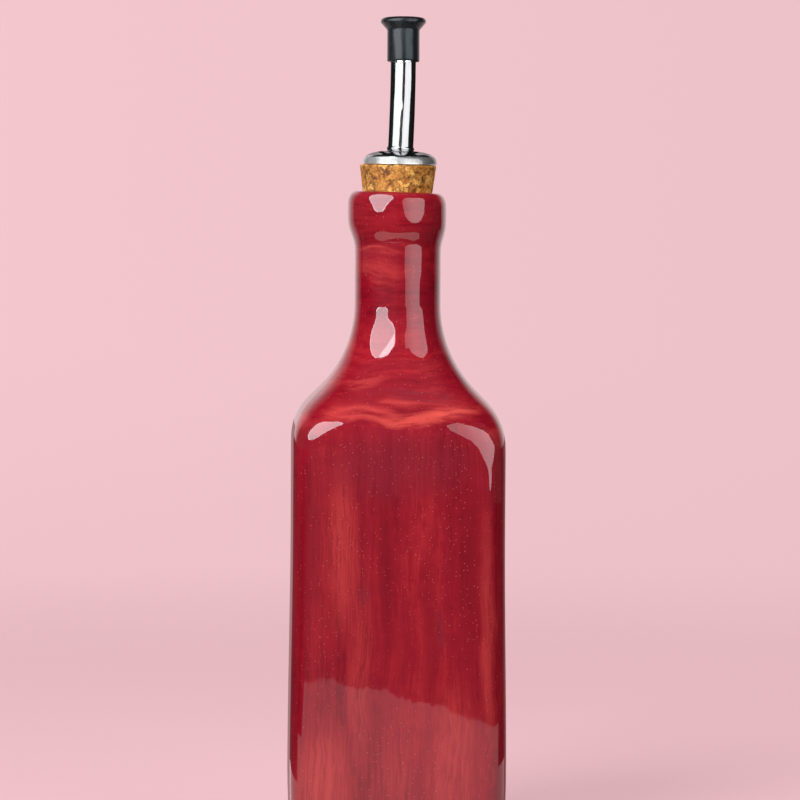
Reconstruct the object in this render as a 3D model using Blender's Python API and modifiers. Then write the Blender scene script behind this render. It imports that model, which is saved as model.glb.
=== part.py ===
"""Square ceramic oil bottle with a cork pourer.

The bottle is a solid square body with rounded corners that draws in through a
shoulder to a round neck and a thick rolled lip. A tapered cork sits in the
mouth. On the cork rests a domed metal flange, a slightly bent metal spout
rises from it, and a flared cap is pushed over the end of the spout.
Z points up, the foot rests on z = 0 and the front faces -Y.
"""
import math

import bmesh
import bpy
import numpy as np

for old_object in list(bpy.data.objects):
    bpy.data.objects.remove(old_object, do_unlink=True)

# ---------------------------------------------------------------- body
FOOT_HALF = 0.0357            # half the width across the flats near the foot
TOP_HALF = 0.0349             # half the width just under the shoulder
FLARE_HEIGHT = 0.0250         # height of the widest section
TAPER_END = 0.1050            # height where the side wall becomes upright
FOOT_TUCK = 0.0006            # how far the wall draws in just above the foot
FOOT_ROUND = 0.0030           # radius of the rounded edge round the foot
CORNER_RADIUS = 0.0094        # upright corners of the body
FACE_TURN = math.radians(2.35)          # each side is a wide arc that turns this far either way

# ---------------------------------------------------------------- shoulder
KNEE_BOTTOM = 0.1332          # where the wall starts to turn inwards
KNEE_RADIUS = 0.0194          # convex turn from wall to slope
SHOULDER_ANGLE = math.radians(45.2)
COVE_RADIUS = 0.0391          # hollow sweep from slope to neck
ROUNDING_START = 0.1239       # square section starts to turn round
ROUNDING_END = 0.1692         # section is a full circle from here up
ROUNDING_SKEW = 1.16          # delays the start of the rounding

# ---------------------------------------------------------------- neck and lip
NECK_RADIUS = 0.01417
LIP_RADIUS = 0.01624
LIP_START = 0.1962            # neck starts to swell into the lip
LIP_FULL = 0.2065             # lip reaches its full radius
LIP_SKEW = 0.80               # draws the middle of the swell down
LIP_ROUND_HEIGHT = 0.0042     # rounded upper edge of the lip
LIP_ROUND_WIDTH = 0.0033
LIP_TOP = 0.2153
LIP_SHIFT = -0.00033          # the lip sits a little left of the neck
SHOULDER_SLOPE = math.tan(math.radians(0.83))# shoulder dips to the right
LIP_SLOPE = math.tan(math.radians(1.6))# lip dips to the right
SLOPE_START = 0.1000
SLOPE_SHOULDER = 0.1400

# ---------------------------------------------------------------- cork
CORK_TOP = 0.22375
CORK_TOP_RADIUS = 0.01257
CORK_TAPER = 0.130            # radius lost per unit of length
CORK_DEPTH = 0.0130           # length of the plug inside the mouth
CORK_EDGE = 0.0003            # broken edge round the top
CORK_SHIFT = -0.0002          # cork sits a little left of the neck
SEAT_GAP = 0.0004             # clearance round the plug
TOUCH_GAP = 0.0003            # clearance between pieces that touch
POURER_TILT = math.radians(0.8)         # the cork and all it carries lean right

# ---------------------------------------------------------------- flange
FLANGE_RADIUS = 0.01208
FLANGE_SHIFT = 0.0006         # flange sits a little right of the cork
FLANGE_RIM = 0.0003           # upright edge of the flange
FLANGE_HEIGHT = 0.0044        # crown under the spout
FLANGE_SIDE_POWER = 3.25      # the dome is a squarish oval: (r/R)^3.25 + (z/H)^2.5 = 1
FLANGE_CROWN_POWER = 2.5

# ---------------------------------------------------------------- spout
TUBE_RADIUS = 0.00413
TUBE_LENGTH = 0.0362
TUBE_SHIFT = 0.0001           # foot of the spout to the right of the flange centre
TUBE_BOW = 0.0004             # sideways bow to the right
TUBE_BOW_HEIGHT = 0.0235      # height where the bow is widest
TUBE_BACK = 0.0012            # backward travel of the free end
BEAD_RADIUS = 0.0045          # rolled bead round the foot of the spout
BEAD_HEIGHT = 0.0010

# ---------------------------------------------------------------- cap
CAP_RADIUS = 0.00532
CAP_SKIRT = 0.0104            # height of the straight part
CAP_FLARE_RADIUS = 0.00746
CAP_FLARE_TOP = 0.0131
CAP_HEIGHT = 0.0146
CAP_RIM_ROUND = 0.0012
CAP_SOCKET = 0.0072           # how far the spout goes into the cap

# ---------------------------------------------------------------- divisions
FLAT_STEPS = 6                # across each flat
CORNER_STEPS = 8              # round each corner
ROUND_STEPS = 48              # round the turned pieces


def smooth_step(value, low, high):
    """Blend from 0 at low to 1 at high with level ends: 3t^2 - 2t^3."""
    t = np.clip((value - low) / (high - low), 0.0, 1.0)
    return t * t * (3.0 - 2.0 * t)


def arc(centre_r, centre_z, radius, start, stop, count):
    """Points (r, z) along a circular arc, angles measured from +r."""
    angles = np.linspace(start, stop, count)
    return [(centre_r + radius * math.cos(a), centre_z + radius * math.sin(a)) for a in angles]


def paint(name, colour, roughness, metallic):
    """A Principled BSDF material with plain settings."""
    material = bpy.data.materials.new(name)
    material.use_nodes = True
    shader = material.node_tree.nodes["Principled BSDF"]
    shader.inputs["Base Color"].default_value = (*colour, 1.0)
    shader.inputs["Roughness"].default_value = roughness
    shader.inputs["Metallic"].default_value = metallic
    return material


collection = bpy.data.collections.new("oil_bottle")
bpy.context.scene.collection.children.link(collection)


def add_object(name, data, material, parent=None, location=(0.0, 0.0, 0.0)):
    """Put a mesh in the collection with its material, place and parent."""
    obj = bpy.data.objects.new(name, data)
    collection.objects.link(obj)
    data.materials.append(material)
    obj.parent = parent
    obj.location = location
    return obj


def shade_round(obj, sharp_angle=40.0):
    """Shade a round piece smooth and keep its true edges sharp."""
    obj.data.shade_smooth()
    obj.data.set_sharp_from_angle(angle=math.radians(sharp_angle))


def turned(name, profile, material, parent=None, location=(0.0, 0.0, 0.0)):
    """Spin a profile of (r, z) points, top to bottom on +X, about Z."""
    mesh = bpy.data.meshes.new(name)
    edges = [(i, i + 1) for i in range(len(profile) - 1)]
    mesh.from_pydata([(r, 0.0, z) for r, z in profile], edges, [])
    obj = add_object(name, mesh, material, parent, location)
    screw = obj.modifiers.new("spin", "SCREW")
    screw.axis = "Z"
    screw.angle = math.tau
    screw.steps = ROUND_STEPS
    screw.render_steps = ROUND_STEPS
    screw.use_merge_vertices = True
    screw.merge_threshold = 0.00001
    screw.use_smooth_shade = True
    return obj


# ================================================================ bottle
def wall_half_width(z):
    """Half width of the body wall: tucked in at the foot, widest low, upright above."""
    tuck = FOOT_TUCK * (1.0 - smooth_step(z, 0.0, FLARE_HEIGHT))
    taper = (FOOT_HALF - TOP_HALF) * smooth_step(z, FLARE_HEIGHT, TAPER_END)
    return FOOT_HALF - tuck - taper


def shoulder_profile():
    """Knee, straight slope and cove from the wall up to the neck."""
    knee = arc(TOP_HALF - KNEE_RADIUS, KNEE_BOTTOM, KNEE_RADIUS, 0.0, SHOULDER_ANGLE, 7)
    cove_r = NECK_RADIUS + COVE_RADIUS
    slope_run = (knee[-1][0] - NECK_RADIUS) - COVE_RADIUS * (1.0 - math.cos(SHOULDER_ANGLE))
    slope_rise = slope_run / math.tan(SHOULDER_ANGLE)
    cove_z = knee[-1][1] + slope_rise + COVE_RADIUS * math.sin(SHOULDER_ANGLE)
    cove = arc(cove_r, cove_z, COVE_RADIUS, math.pi + SHOULDER_ANGLE, math.pi, 10)
    return knee + cove


def lip_swell(z):
    """Share of the lip's swell at a height: 10t^3 - 15t^4 + 6t^5, its middle drawn down by a power."""
    t = min(max((z - LIP_START) / (LIP_FULL - LIP_START), 0.0), 1.0) ** LIP_SKEW
    return t ** 3 * (10.0 - 15.0 * t + 6.0 * t * t)


def lip_profile():
    """Neck swelling into the lip, its rounded edge and the way into the mouth."""
    swell = []
    for z in np.linspace(LIP_START, LIP_FULL, 9):
        swell.append((NECK_RADIUS + (LIP_RADIUS - NECK_RADIUS) * lip_swell(float(z)), float(z)))
    edge = []
    for a in np.linspace(0.0, math.pi / 2.0, 6):
        r = LIP_RADIUS - LIP_ROUND_WIDTH * (1.0 - math.cos(a))
        z = LIP_TOP - LIP_ROUND_HEIGHT * (1.0 - math.sin(a))
        edge.append((r, z))
    mouth_top = cork_radius(LIP_TOP) + SEAT_GAP
    inner_round = edge[-1][0] - mouth_top
    inner = []
    for a in np.linspace(0.0, math.pi / 2.0, 3)[1:]:
        r = edge[-1][0] - inner_round * math.sin(a)
        z = LIP_TOP - inner_round * (1.0 - math.cos(a))
        inner.append((r, z))
    floor_z = LIP_TOP - CORK_DEPTH - TOUCH_GAP
    inner.append((cork_radius(floor_z) + SEAT_GAP, floor_z))
    return swell + edge + inner


def cork_radius(z):
    """Radius of the tapered cork at a height."""
    return CORK_TOP_RADIUS - CORK_TAPER * (CORK_TOP - z)


def bottle_profile():
    """The whole outline (half width, z) from the foot, over the lip, into the mouth."""
    foot_wall = wall_half_width(FOOT_ROUND)
    foot = arc(foot_wall - FOOT_ROUND, FOOT_ROUND, FOOT_ROUND, -math.pi / 2.0, 0.0, 5)
    heights = [0.012, FLARE_HEIGHT, 0.045, 0.065, 0.085, TAPER_END, ROUNDING_START, 0.129]
    wall = [(float(wall_half_width(z)), z) for z in heights]
    return foot + wall + shoulder_profile() + lip_profile()


def section(half, roundness):
    """One ring of points: four wide arcs for the sides, joined by four tight corner arcs.

    The tight radius grows with the roundness until all arcs are one circle, and
    the angles then spread evenly round it.
    """
    side = FLAT_STEPS + CORNER_STEPS
    flat = (np.arange(FLAT_STEPS) / FLAT_STEPS * 2.0 - 1.0) * FACE_TURN
    corner = FACE_TURN + np.arange(CORNER_STEPS) / CORNER_STEPS * (math.pi / 2.0 - 2.0 * FACE_TURN)
    squarish = np.concatenate([flat, corner])
    even = (np.arange(side) - FLAT_STEPS / 2.0) / side * math.pi / 2.0
    angle = squarish + (even - squarish) * roundness
    sine, cosine = math.sin(FACE_TURN), math.cos(FACE_TURN)
    tight = CORNER_RADIUS + (half - CORNER_RADIUS) * roundness
    wide = (half - tight * (cosine - sine)) / (1.0 + sine - cosine)
    core = half - wide + (wide - tight) * cosine
    on_side = np.abs(angle) <= FACE_TURN + 1e-9
    corner_y = np.where(angle > 0.0, core, -core)
    x = np.where(on_side, half - wide + wide * np.cos(angle), core + tight * np.cos(angle))
    y = np.where(on_side, wide * np.sin(angle), corner_y + tight * np.sin(angle))
    ring = []
    for quarter in range(4):
        turn = quarter * math.pi / 2.0
        ring.append(np.stack([x * math.cos(turn) - y * math.sin(turn),
                              x * math.sin(turn) + y * math.cos(turn)], axis=1))
    return np.concatenate(ring)


def bottle_mesh():
    """Loft of rounded squares into circles, closed at the foot and in the mouth."""
    profile = bottle_profile()
    rings = []
    for half, z in profile:
        share = min(max((z - ROUNDING_START) / (ROUNDING_END - ROUNDING_START), 0.0), 1.0)
        roundness = float(smooth_step(share ** ROUNDING_SKEW, 0.0, 1.0))
        ring = section(half, roundness)
        shift = LIP_SHIFT * float(smooth_step(z, LIP_START, LIP_FULL))
        slope = SHOULDER_SLOPE * smooth_step(z, SLOPE_START, SLOPE_SHOULDER)
        slope = slope + (LIP_SLOPE - SHOULDER_SLOPE) * smooth_step(z, ROUNDING_END, LIP_FULL)
        height = z - ring[:, 0] * slope
        rings.append(np.column_stack([ring[:, 0] + shift, ring[:, 1], height]))
    count = len(rings[0])
    points = np.concatenate(rings)
    faces = []
    for row in range(len(rings) - 1):
        for column in range(count):
            following = (column + 1) % count
            low = row * count
            high = low + count
            faces.append((low + column, low + following, high + following, high + column))
    faces.append(tuple(reversed(range(count))))
    last = (len(rings) - 1) * count
    faces.append(tuple(range(last, last + count)))
    mesh = bpy.data.meshes.new("bottle")
    mesh.from_pydata([tuple(p) for p in points], [], faces)
    mesh.validate()
    return mesh


glaze = paint("red_glaze", (0.376, 0.0116, 0.0212), 0.12, 0.0)
bottle = add_object("bottle", bottle_mesh(), glaze)
shade_round(bottle, 50.0)

# ================================================================ cork
cork_bottom = LIP_TOP - CORK_DEPTH
cork_outline = [
    (0.0, CORK_TOP - LIP_TOP),
    (CORK_TOP_RADIUS - CORK_EDGE, CORK_TOP - LIP_TOP),
    (CORK_TOP_RADIUS, CORK_TOP - LIP_TOP - CORK_EDGE),
    (cork_radius(LIP_TOP), 0.0),
    (cork_radius(cork_bottom), -CORK_DEPTH),
    (0.0, -CORK_DEPTH),
]
cork_paint = paint("pressed_cork", (0.515, 0.223, 0.061), 0.9, 0.0)
cork = turned("cork", cork_outline, cork_paint, bottle, (CORK_SHIFT, 0.0, LIP_TOP))
cork.rotation_euler = (0.0, POURER_TILT, 0.0)

# ================================================================ flange
flange_outline = [(0.0, FLANGE_HEIGHT)]
for turn in np.linspace(0.0, math.pi / 2.0, 12)[1:-1]:
    radius = FLANGE_RADIUS * math.sin(turn) ** (2.0 / FLANGE_SIDE_POWER)
    rise = (FLANGE_HEIGHT - FLANGE_RIM) * math.cos(turn) ** (2.0 / FLANGE_CROWN_POWER)
    flange_outline.append((radius, FLANGE_RIM + rise))
flange_outline.append((FLANGE_RADIUS, FLANGE_RIM))
flange_outline.append((FLANGE_RADIUS, 0.0))
flange_outline.append((0.0, 0.0))
chrome = paint("bright_chrome", (0.62, 0.63, 0.64), 0.07, 1.0)
flange = turned("spout_flange", flange_outline, chrome, cork,
                (FLANGE_SHIFT, 0.0, CORK_TOP - LIP_TOP + TOUCH_GAP))


# ================================================================ spout
def spout_offset(height):
    """Sideways bow and backward travel of the bent spout at a height above its foot."""
    u = height / TUBE_BOW_HEIGHT
    t = height / TUBE_LENGTH
    return TUBE_BOW * (2.0 * u - u * u), TUBE_BACK * t * t


def spout_slope(height):
    """Sideways and backward slope of the bent spout at a height above its foot."""
    u = height / TUBE_BOW_HEIGHT
    t = height / TUBE_LENGTH
    return TUBE_BOW * (2.0 - 2.0 * u) / TUBE_BOW_HEIGHT, TUBE_BACK * 2.0 * t / TUBE_LENGTH


def spout_radius(height):
    """Tube radius with a rounded bead at the foot."""
    if height >= BEAD_HEIGHT:
        return TUBE_RADIUS
    bulge = math.sin(math.pi * (0.25 + 0.75 * height / BEAD_HEIGHT))
    return TUBE_RADIUS + (BEAD_RADIUS - TUBE_RADIUS) * bulge


spout_curve = bpy.data.curves.new("spout_path", "CURVE")
spout_curve.dimensions = "3D"
spout_curve.bevel_depth = TUBE_RADIUS
spout_curve.bevel_resolution = 6
spout_curve.use_fill_caps = True
stations = [BEAD_HEIGHT * k / 4.0 for k in range(5)]
stations += [TUBE_LENGTH * k / 10.0 for k in range(1, 11)]
spout_line = spout_curve.splines.new("POLY")
spout_line.points.add(len(stations) - 1)
for point, height in zip(spout_line.points, stations):
    side, back = spout_offset(height)
    point.co = (side, back, height, 1.0)
    point.radius = spout_radius(height) / TUBE_RADIUS
spout_source = bpy.data.objects.new("spout_path", spout_curve)
collection.objects.link(spout_source)
bpy.context.view_layer.update()
evaluated = spout_source.evaluated_get(bpy.context.evaluated_depsgraph_get())
spout_mesh = bpy.data.meshes.new_from_object(evaluated)
spout_mesh.name = "spout_tube"
bpy.data.objects.remove(spout_source, do_unlink=True)
welded = bmesh.new()
welded.from_mesh(spout_mesh)
bmesh.ops.remove_doubles(welded, verts=welded.verts, dist=0.00001)
bmesh.ops.recalc_face_normals(welded, faces=welded.faces)
welded.to_mesh(spout_mesh)
welded.free()
spout_mesh.materials.clear()
tube = add_object("spout_tube", spout_mesh, chrome, flange, (TUBE_SHIFT, 0.0, FLANGE_HEIGHT + TOUCH_GAP))
shade_round(tube, 50.0)

# ================================================================ cap
socket_radius = TUBE_RADIUS + TOUCH_GAP
crown_radius = CAP_FLARE_RADIUS - CAP_RIM_ROUND
cap_outline = [(0.0, CAP_HEIGHT), (crown_radius * 0.6, CAP_HEIGHT - 0.0001)]
for a in np.linspace(0.0, 1.0, 5):
    radius = crown_radius + CAP_RIM_ROUND * math.sin(a * math.pi / 2.0)
    drop = 0.0003 + (CAP_HEIGHT - 0.0003 - CAP_FLARE_TOP) * (1.0 - math.cos(a * math.pi / 2.0))
    cap_outline.append((radius, CAP_HEIGHT - drop))
cap_outline += [
    (CAP_FLARE_RADIUS, CAP_FLARE_TOP - 0.0003),
    (CAP_RADIUS + 0.0002, CAP_SKIRT + 0.0003),
    (CAP_RADIUS, CAP_SKIRT - 0.0003),
    (CAP_RADIUS, 0.0003),
    (CAP_RADIUS - 0.0003, 0.0),
    (socket_radius, 0.0),
    (socket_radius, CAP_SOCKET + TOUCH_GAP),
    (0.0, CAP_SOCKET + TOUCH_GAP),
]
cap_paint = paint("black_cap", (0.013, 0.014, 0.016), 0.38, 0.0)
half_socket = CAP_SOCKET / 2.0
side, back = spout_offset(TUBE_LENGTH - half_socket)
side_slope, back_slope = spout_slope(TUBE_LENGTH - half_socket)
cap_place = (side - half_socket * side_slope, back - half_socket * back_slope, TUBE_LENGTH - CAP_SOCKET)
cap = turned("spout_cap", cap_outline, cap_paint, tube, cap_place)
cap.rotation_euler = (-math.atan(back_slope), math.atan(side_slope), 0.0)
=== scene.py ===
# %% [markdown]
# # A square oil bottle with a cork pourer
#
# The real object is a square ceramic bottle. It is painted by hand with red
# slip and covered with clear glaze. A plug of pressed cork closes its mouth, and
# through the cork goes a pourer: a domed chrome flange, a slightly bent chrome
# spout and a black cap.
#
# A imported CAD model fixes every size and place. We load it first and never move
# it. Each piece is then rebuilt as a finer surface on the same sizes, given a
# material made only of nodes, and put in the CAD node's place.

import math

import bpy
import numpy as np
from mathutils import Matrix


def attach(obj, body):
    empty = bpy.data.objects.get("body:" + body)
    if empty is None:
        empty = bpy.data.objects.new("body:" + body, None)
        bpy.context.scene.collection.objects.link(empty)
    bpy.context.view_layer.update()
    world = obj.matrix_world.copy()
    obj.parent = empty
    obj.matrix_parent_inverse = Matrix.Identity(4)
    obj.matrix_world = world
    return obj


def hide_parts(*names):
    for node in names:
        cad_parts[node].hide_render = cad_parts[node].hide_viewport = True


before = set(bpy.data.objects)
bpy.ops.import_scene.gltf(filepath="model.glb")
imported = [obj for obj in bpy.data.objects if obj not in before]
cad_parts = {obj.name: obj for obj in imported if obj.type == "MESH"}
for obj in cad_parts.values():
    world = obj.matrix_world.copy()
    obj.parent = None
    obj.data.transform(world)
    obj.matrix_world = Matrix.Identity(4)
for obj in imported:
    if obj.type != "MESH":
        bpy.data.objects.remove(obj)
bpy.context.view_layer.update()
scene = bpy.context.scene
print("CAD nodes:", sorted(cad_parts))

# %% [markdown]
# ## Camera
#
# A product picture of a tall bottle is taken from far away with a long lens, so
# that upright lines stay almost parallel. The camera stands 1.3 m from the
# bottle's axis, a little to the left, at the height of the lip, and looks
# slightly down. It is turned a third of a degree about its own line of sight.

# %% Place the camera
CAMERA_DISTANCE = 1.300
CAMERA_HEIGHT = 0.2156
CAMERA_AZIMUTH = math.radians(2.20)
CAMERA_PITCH = math.radians(3.046)
CAMERA_ROLL = math.radians(0.314)
CAMERA_YAW = math.radians(0.0425)
LENS = 177.6


def camera_axes(azimuth, pitch, roll):
    """Right, up and backward axes: a level look along the azimuth, then pitched, then rolled."""
    level = np.array([math.sin(azimuth), math.cos(azimuth), 0.0])
    right = np.array([math.cos(azimuth), -math.sin(azimuth), 0.0])
    forward = level * math.cos(pitch) - np.array([0.0, 0.0, math.sin(pitch)])
    up = np.cross(right, forward)
    rolled_right = right * math.cos(roll) + up * math.sin(roll)
    rolled_up = up * math.cos(roll) - right * math.sin(roll)
    return np.column_stack([rolled_right, rolled_up, -forward])


def add_object(name, data):
    """A new object in the scene."""
    obj = bpy.data.objects.new(name, data)
    scene.collection.objects.link(obj)
    return obj


def place_matrix(axes, origin):
    """A 4 x 4 placement from three axes in columns and an origin."""
    matrix = np.eye(4)
    matrix[:3, :3] = axes
    matrix[:3, 3] = origin
    return matrix


camera_data = bpy.data.cameras.new("camera")
camera_data.sensor_width = 36.0
camera_data.lens = LENS
camera_data.clip_start = 0.05
camera_data.clip_end = 50.0
camera = add_object("camera", camera_data)
camera_place = [-CAMERA_DISTANCE * math.sin(CAMERA_AZIMUTH), -CAMERA_DISTANCE * math.cos(CAMERA_AZIMUTH),
                CAMERA_HEIGHT]
look = camera_axes(CAMERA_AZIMUTH + CAMERA_YAW, CAMERA_PITCH, CAMERA_ROLL)
camera.matrix_world = place_matrix(look, camera_place).T.tolist()
scene.camera = camera
scene.view_settings.view_transform = "Standard"
print("camera at", [round(v, 4) for v in camera_place])

# %% [markdown]
# ## Small tools for surfaces
#
# Every piece is a grid of points: one direction runs round the piece, the other
# along its outline. A whole grid is computed at once as a numpy array. `skin`
# then joins neighbouring points with four-sided faces and closes both ends with
# a fan of triangles, so the piece is watertight.

# %% Helpers for grids and outlines
def smooth_step(value, low, high):
    """Blend from 0 at low to 1 at high with level ends: 3t^2 - 2t^3."""
    t = np.clip((value - low) / (high - low), 0.0, 1.0)
    return t * t * (3.0 - 2.0 * t)


def arc(centre_r, centre_z, radius_r, radius_z, start, stop, count):
    """Points (r, z) on an ellipse's arc: centre + (radius_r cos a, radius_z sin a)."""
    angles = np.radians(np.linspace(start, stop, count))
    return np.column_stack([centre_r + radius_r * np.cos(angles), centre_z + radius_z * np.sin(angles)])


def evenly(outline, spacing):
    """The same outline with its points a constant distance apart, measured along it."""
    steps = np.hypot(*np.diff(outline, axis=0).T)
    along = np.concatenate([[0.0], np.cumsum(steps)])
    wanted = np.linspace(0.0, along[-1], int(round(along[-1] / spacing)) + 1)
    return np.column_stack([np.interp(wanted, along, outline[:, k]) for k in range(2)])


def ring_faces(rows, count):
    """Four-sided faces that join each ring of points to the next."""
    column = np.arange(count)
    following = (column + 1) % count
    row = np.arange(rows - 1)[:, None] * count
    corners = [row + column, row + following, row + count + following, row + count + column]
    return np.stack(corners, axis=2).reshape(-1, 4).tolist()


def fan_faces(first, count, pole):
    """Triangles that join a ring, whose points start at first, to its pole."""
    column = np.arange(count)
    corners = [first + column, first + (column + 1) % count, np.full(count, pole)]
    return np.column_stack(corners).tolist()


def add_mesh(name, points, faces):
    """A new object with a mesh of these points and faces."""
    mesh = bpy.data.meshes.new(name)
    mesh.from_pydata(points.tolist(), [], faces)
    return add_object(name, mesh)


def skin(name, rings):
    """A closed mesh from rings of points (rows, columns, 3), and a pole in the middle of each end ring."""
    rows, count = rings.shape[:2]
    quads = ring_faces(rows, count)
    low_pole = rows * count
    low_fan = [triangle[::-1] for triangle in fan_faces(0, count, low_pole)]
    high_fan = fan_faces(low_pole - count, count, low_pole + 1)
    points = np.concatenate([rings.reshape(-1, 3), rings[[0, -1]].mean(axis=1)])
    obj = add_mesh(name, points, quads + low_fan + high_fan)
    obj.data.shade_smooth()
    print(name, "-", 2 * len(quads) + 2 * count, "triangles")
    return obj


def spun(outline, count):
    """An outline (r, z) carried round the z axis: x = r cos a, y = r sin a."""
    turn = np.arange(count) / count * math.tau
    radius = outline[:, 0][:, None]
    height = np.broadcast_to(outline[:, 1][:, None], (len(outline), count))
    return np.stack([radius * np.cos(turn), radius * np.sin(turn), height], axis=2)


def moved(points, matrix):
    """Points carried by a 4 x 4 placement: turned by its axes, then shifted by its origin."""
    return points @ matrix[:3, :3].T + matrix[:3, 3]


def store(obj, name, values):
    """Keep one number per point on the mesh as a named attribute; the two poles get 0."""
    column = np.zeros(len(obj.data.vertices), np.float32)
    column[:values.size] = values.ravel()
    obj.data.attributes.new(name, "FLOAT", "POINT").data.foreach_set("value", column)


# %% [markdown]
# ## The bottle's outline
#
# The bottle is square below and round above. One could subdivide a cube, but the
# shoulder would then be hard to control. Here one outline gives the half width
# at each height: a rounded foot, a wall that tapers very slightly, a convex
# knee, a straight slope, a hollow sweep into the neck, a swelling lip with a
# rounded edge, and the blind socket that holds the cork.

# %% Sizes of the bottle, in metres
FOOT_HALF = 0.0357
TOP_HALF = 0.0349
FLARE_HEIGHT = 0.0250
TAPER_END = 0.1050
FOOT_TUCK = 0.0006
FOOT_ROUND = 0.0030
CORNER_RADIUS = 0.0094
FACE_TURN = 2.35
KNEE_BOTTOM = 0.1332
KNEE_RADIUS = 0.0194
SHOULDER_ANGLE = 45.2
COVE_RADIUS = 0.0391
ROUNDING_START = 0.1239
ROUNDING_END = 0.1692
ROUNDING_SKEW = 1.16
NECK_RADIUS = 0.01417
LIP_RADIUS = 0.01624
LIP_START = 0.1962
LIP_FULL = 0.2065
LIP_SKEW = 0.80
LIP_ROUND_HEIGHT = 0.0042
LIP_ROUND_WIDTH = 0.0033
LIP_TOP = 0.2153
LIP_SHIFT = -0.00033
LIP_NOD = 0.045
NOD_START = LIP_FULL - 0.002
SHOULDER_SLOPE = math.tan(math.radians(0.83))
LIP_SLOPE = math.tan(math.radians(1.6))
LEAN_START = 0.100
LEAN_FULL = 0.140
CORK_TOP = 0.22375
CORK_TOP_RADIUS = 0.01257
CORK_TAPER = 0.130
CORK_DEPTH = 0.0130
SEAT_GAP = 0.0004
TOUCH_GAP = 0.0003
ROW_SPACING = 0.0007


# %% Outline of the bottle
def cork_radius(z):
    """Radius of the tapered cork: its top radius less the taper times the depth."""
    return CORK_TOP_RADIUS - CORK_TAPER * (CORK_TOP - z)


def wall_half_width(z):
    """Half width of the wall: tucked in at the foot, widest low down, slightly narrower above."""
    tuck = FOOT_TUCK * (1.0 - smooth_step(z, 0.0, FLARE_HEIGHT))
    return FOOT_HALF - tuck - (FOOT_HALF - TOP_HALF) * smooth_step(z, FLARE_HEIGHT, TAPER_END)


def lip_swell(z):
    """Share of the lip's swell: 10t^3 - 15t^4 + 6t^5, its middle drawn down by a power of the height."""
    t = np.clip((z - LIP_START) / (LIP_FULL - LIP_START), 0.0, 1.0) ** LIP_SKEW
    return t ** 3 * (10.0 - 15.0 * t + 6.0 * t * t)


def shoulder_outline():
    """Knee arc, straight slope and cove arc; the slope is as long as the two arcs leave it."""
    angle = math.radians(SHOULDER_ANGLE)
    knee = arc(TOP_HALF - KNEE_RADIUS, KNEE_BOTTOM, KNEE_RADIUS, KNEE_RADIUS, 0.0, SHOULDER_ANGLE, 40)
    run = knee[-1, 0] - NECK_RADIUS - COVE_RADIUS * (1.0 - math.cos(angle))
    cove_z = knee[-1, 1] + run / math.tan(angle) + COVE_RADIUS * math.sin(angle)
    cove = arc(NECK_RADIUS + COVE_RADIUS, cove_z, COVE_RADIUS, COVE_RADIUS,
               180.0 + SHOULDER_ANGLE, 180.0, 60)
    return np.concatenate([knee, cove])


def bottle_outline():
    """Half width and height, from the rounded foot over the lip down to the socket's floor."""
    foot_wall = float(wall_half_width(FOOT_ROUND))
    foot = arc(foot_wall - FOOT_ROUND, FOOT_ROUND, FOOT_ROUND, FOOT_ROUND, -90.0, 0.0, 16)
    wall_z = np.linspace(FOOT_ROUND, KNEE_BOTTOM, 160)[1:-1]
    wall = np.column_stack([wall_half_width(wall_z), wall_z])
    swell_z = np.linspace(LIP_START, LIP_FULL, 40)
    swell = NECK_RADIUS + (LIP_RADIUS - NECK_RADIUS) * lip_swell(swell_z)
    edge = arc(LIP_RADIUS - LIP_ROUND_WIDTH, LIP_TOP - LIP_ROUND_HEIGHT,
               LIP_ROUND_WIDTH, LIP_ROUND_HEIGHT, 0.0, 90.0, 30)
    inner = edge[-1, 0] - cork_radius(LIP_TOP) - SEAT_GAP
    mouth = arc(edge[-1, 0], LIP_TOP - inner, inner, inner, 90.0, 180.0, 6)[1:]
    floor_z = LIP_TOP - CORK_DEPTH - TOUCH_GAP
    socket = [[cork_radius(floor_z) + SEAT_GAP, floor_z]]
    lip = np.column_stack([swell, swell_z])
    return np.concatenate([foot, wall, shoulder_outline(), lip, edge, mouth, socket])


outline = evenly(bottle_outline(), ROW_SPACING)
print("outline of the bottle:", len(outline), "points, top at", round(outline[:, 1].max(), 4))

# %% [markdown]
# ## From square to round
#
# The sides of the bottle bulge a little and its corners are round. So each ring
# is made of four wide arcs, one a side, and four tight arcs at the corners, and
# they meet without a kink. Through the shoulder the tight arcs grow until all
# eight are one circle. Hand-made ware is never quite true, so the shoulder and
# the lip dip a little to the right and the front of the lip nods forward. At the
# end neighbouring points are averaged, as glaze flows and softens every edge.

# %% Rings of the bottle
FLAT_POINTS = 40
CORNER_POINTS = 20


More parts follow.
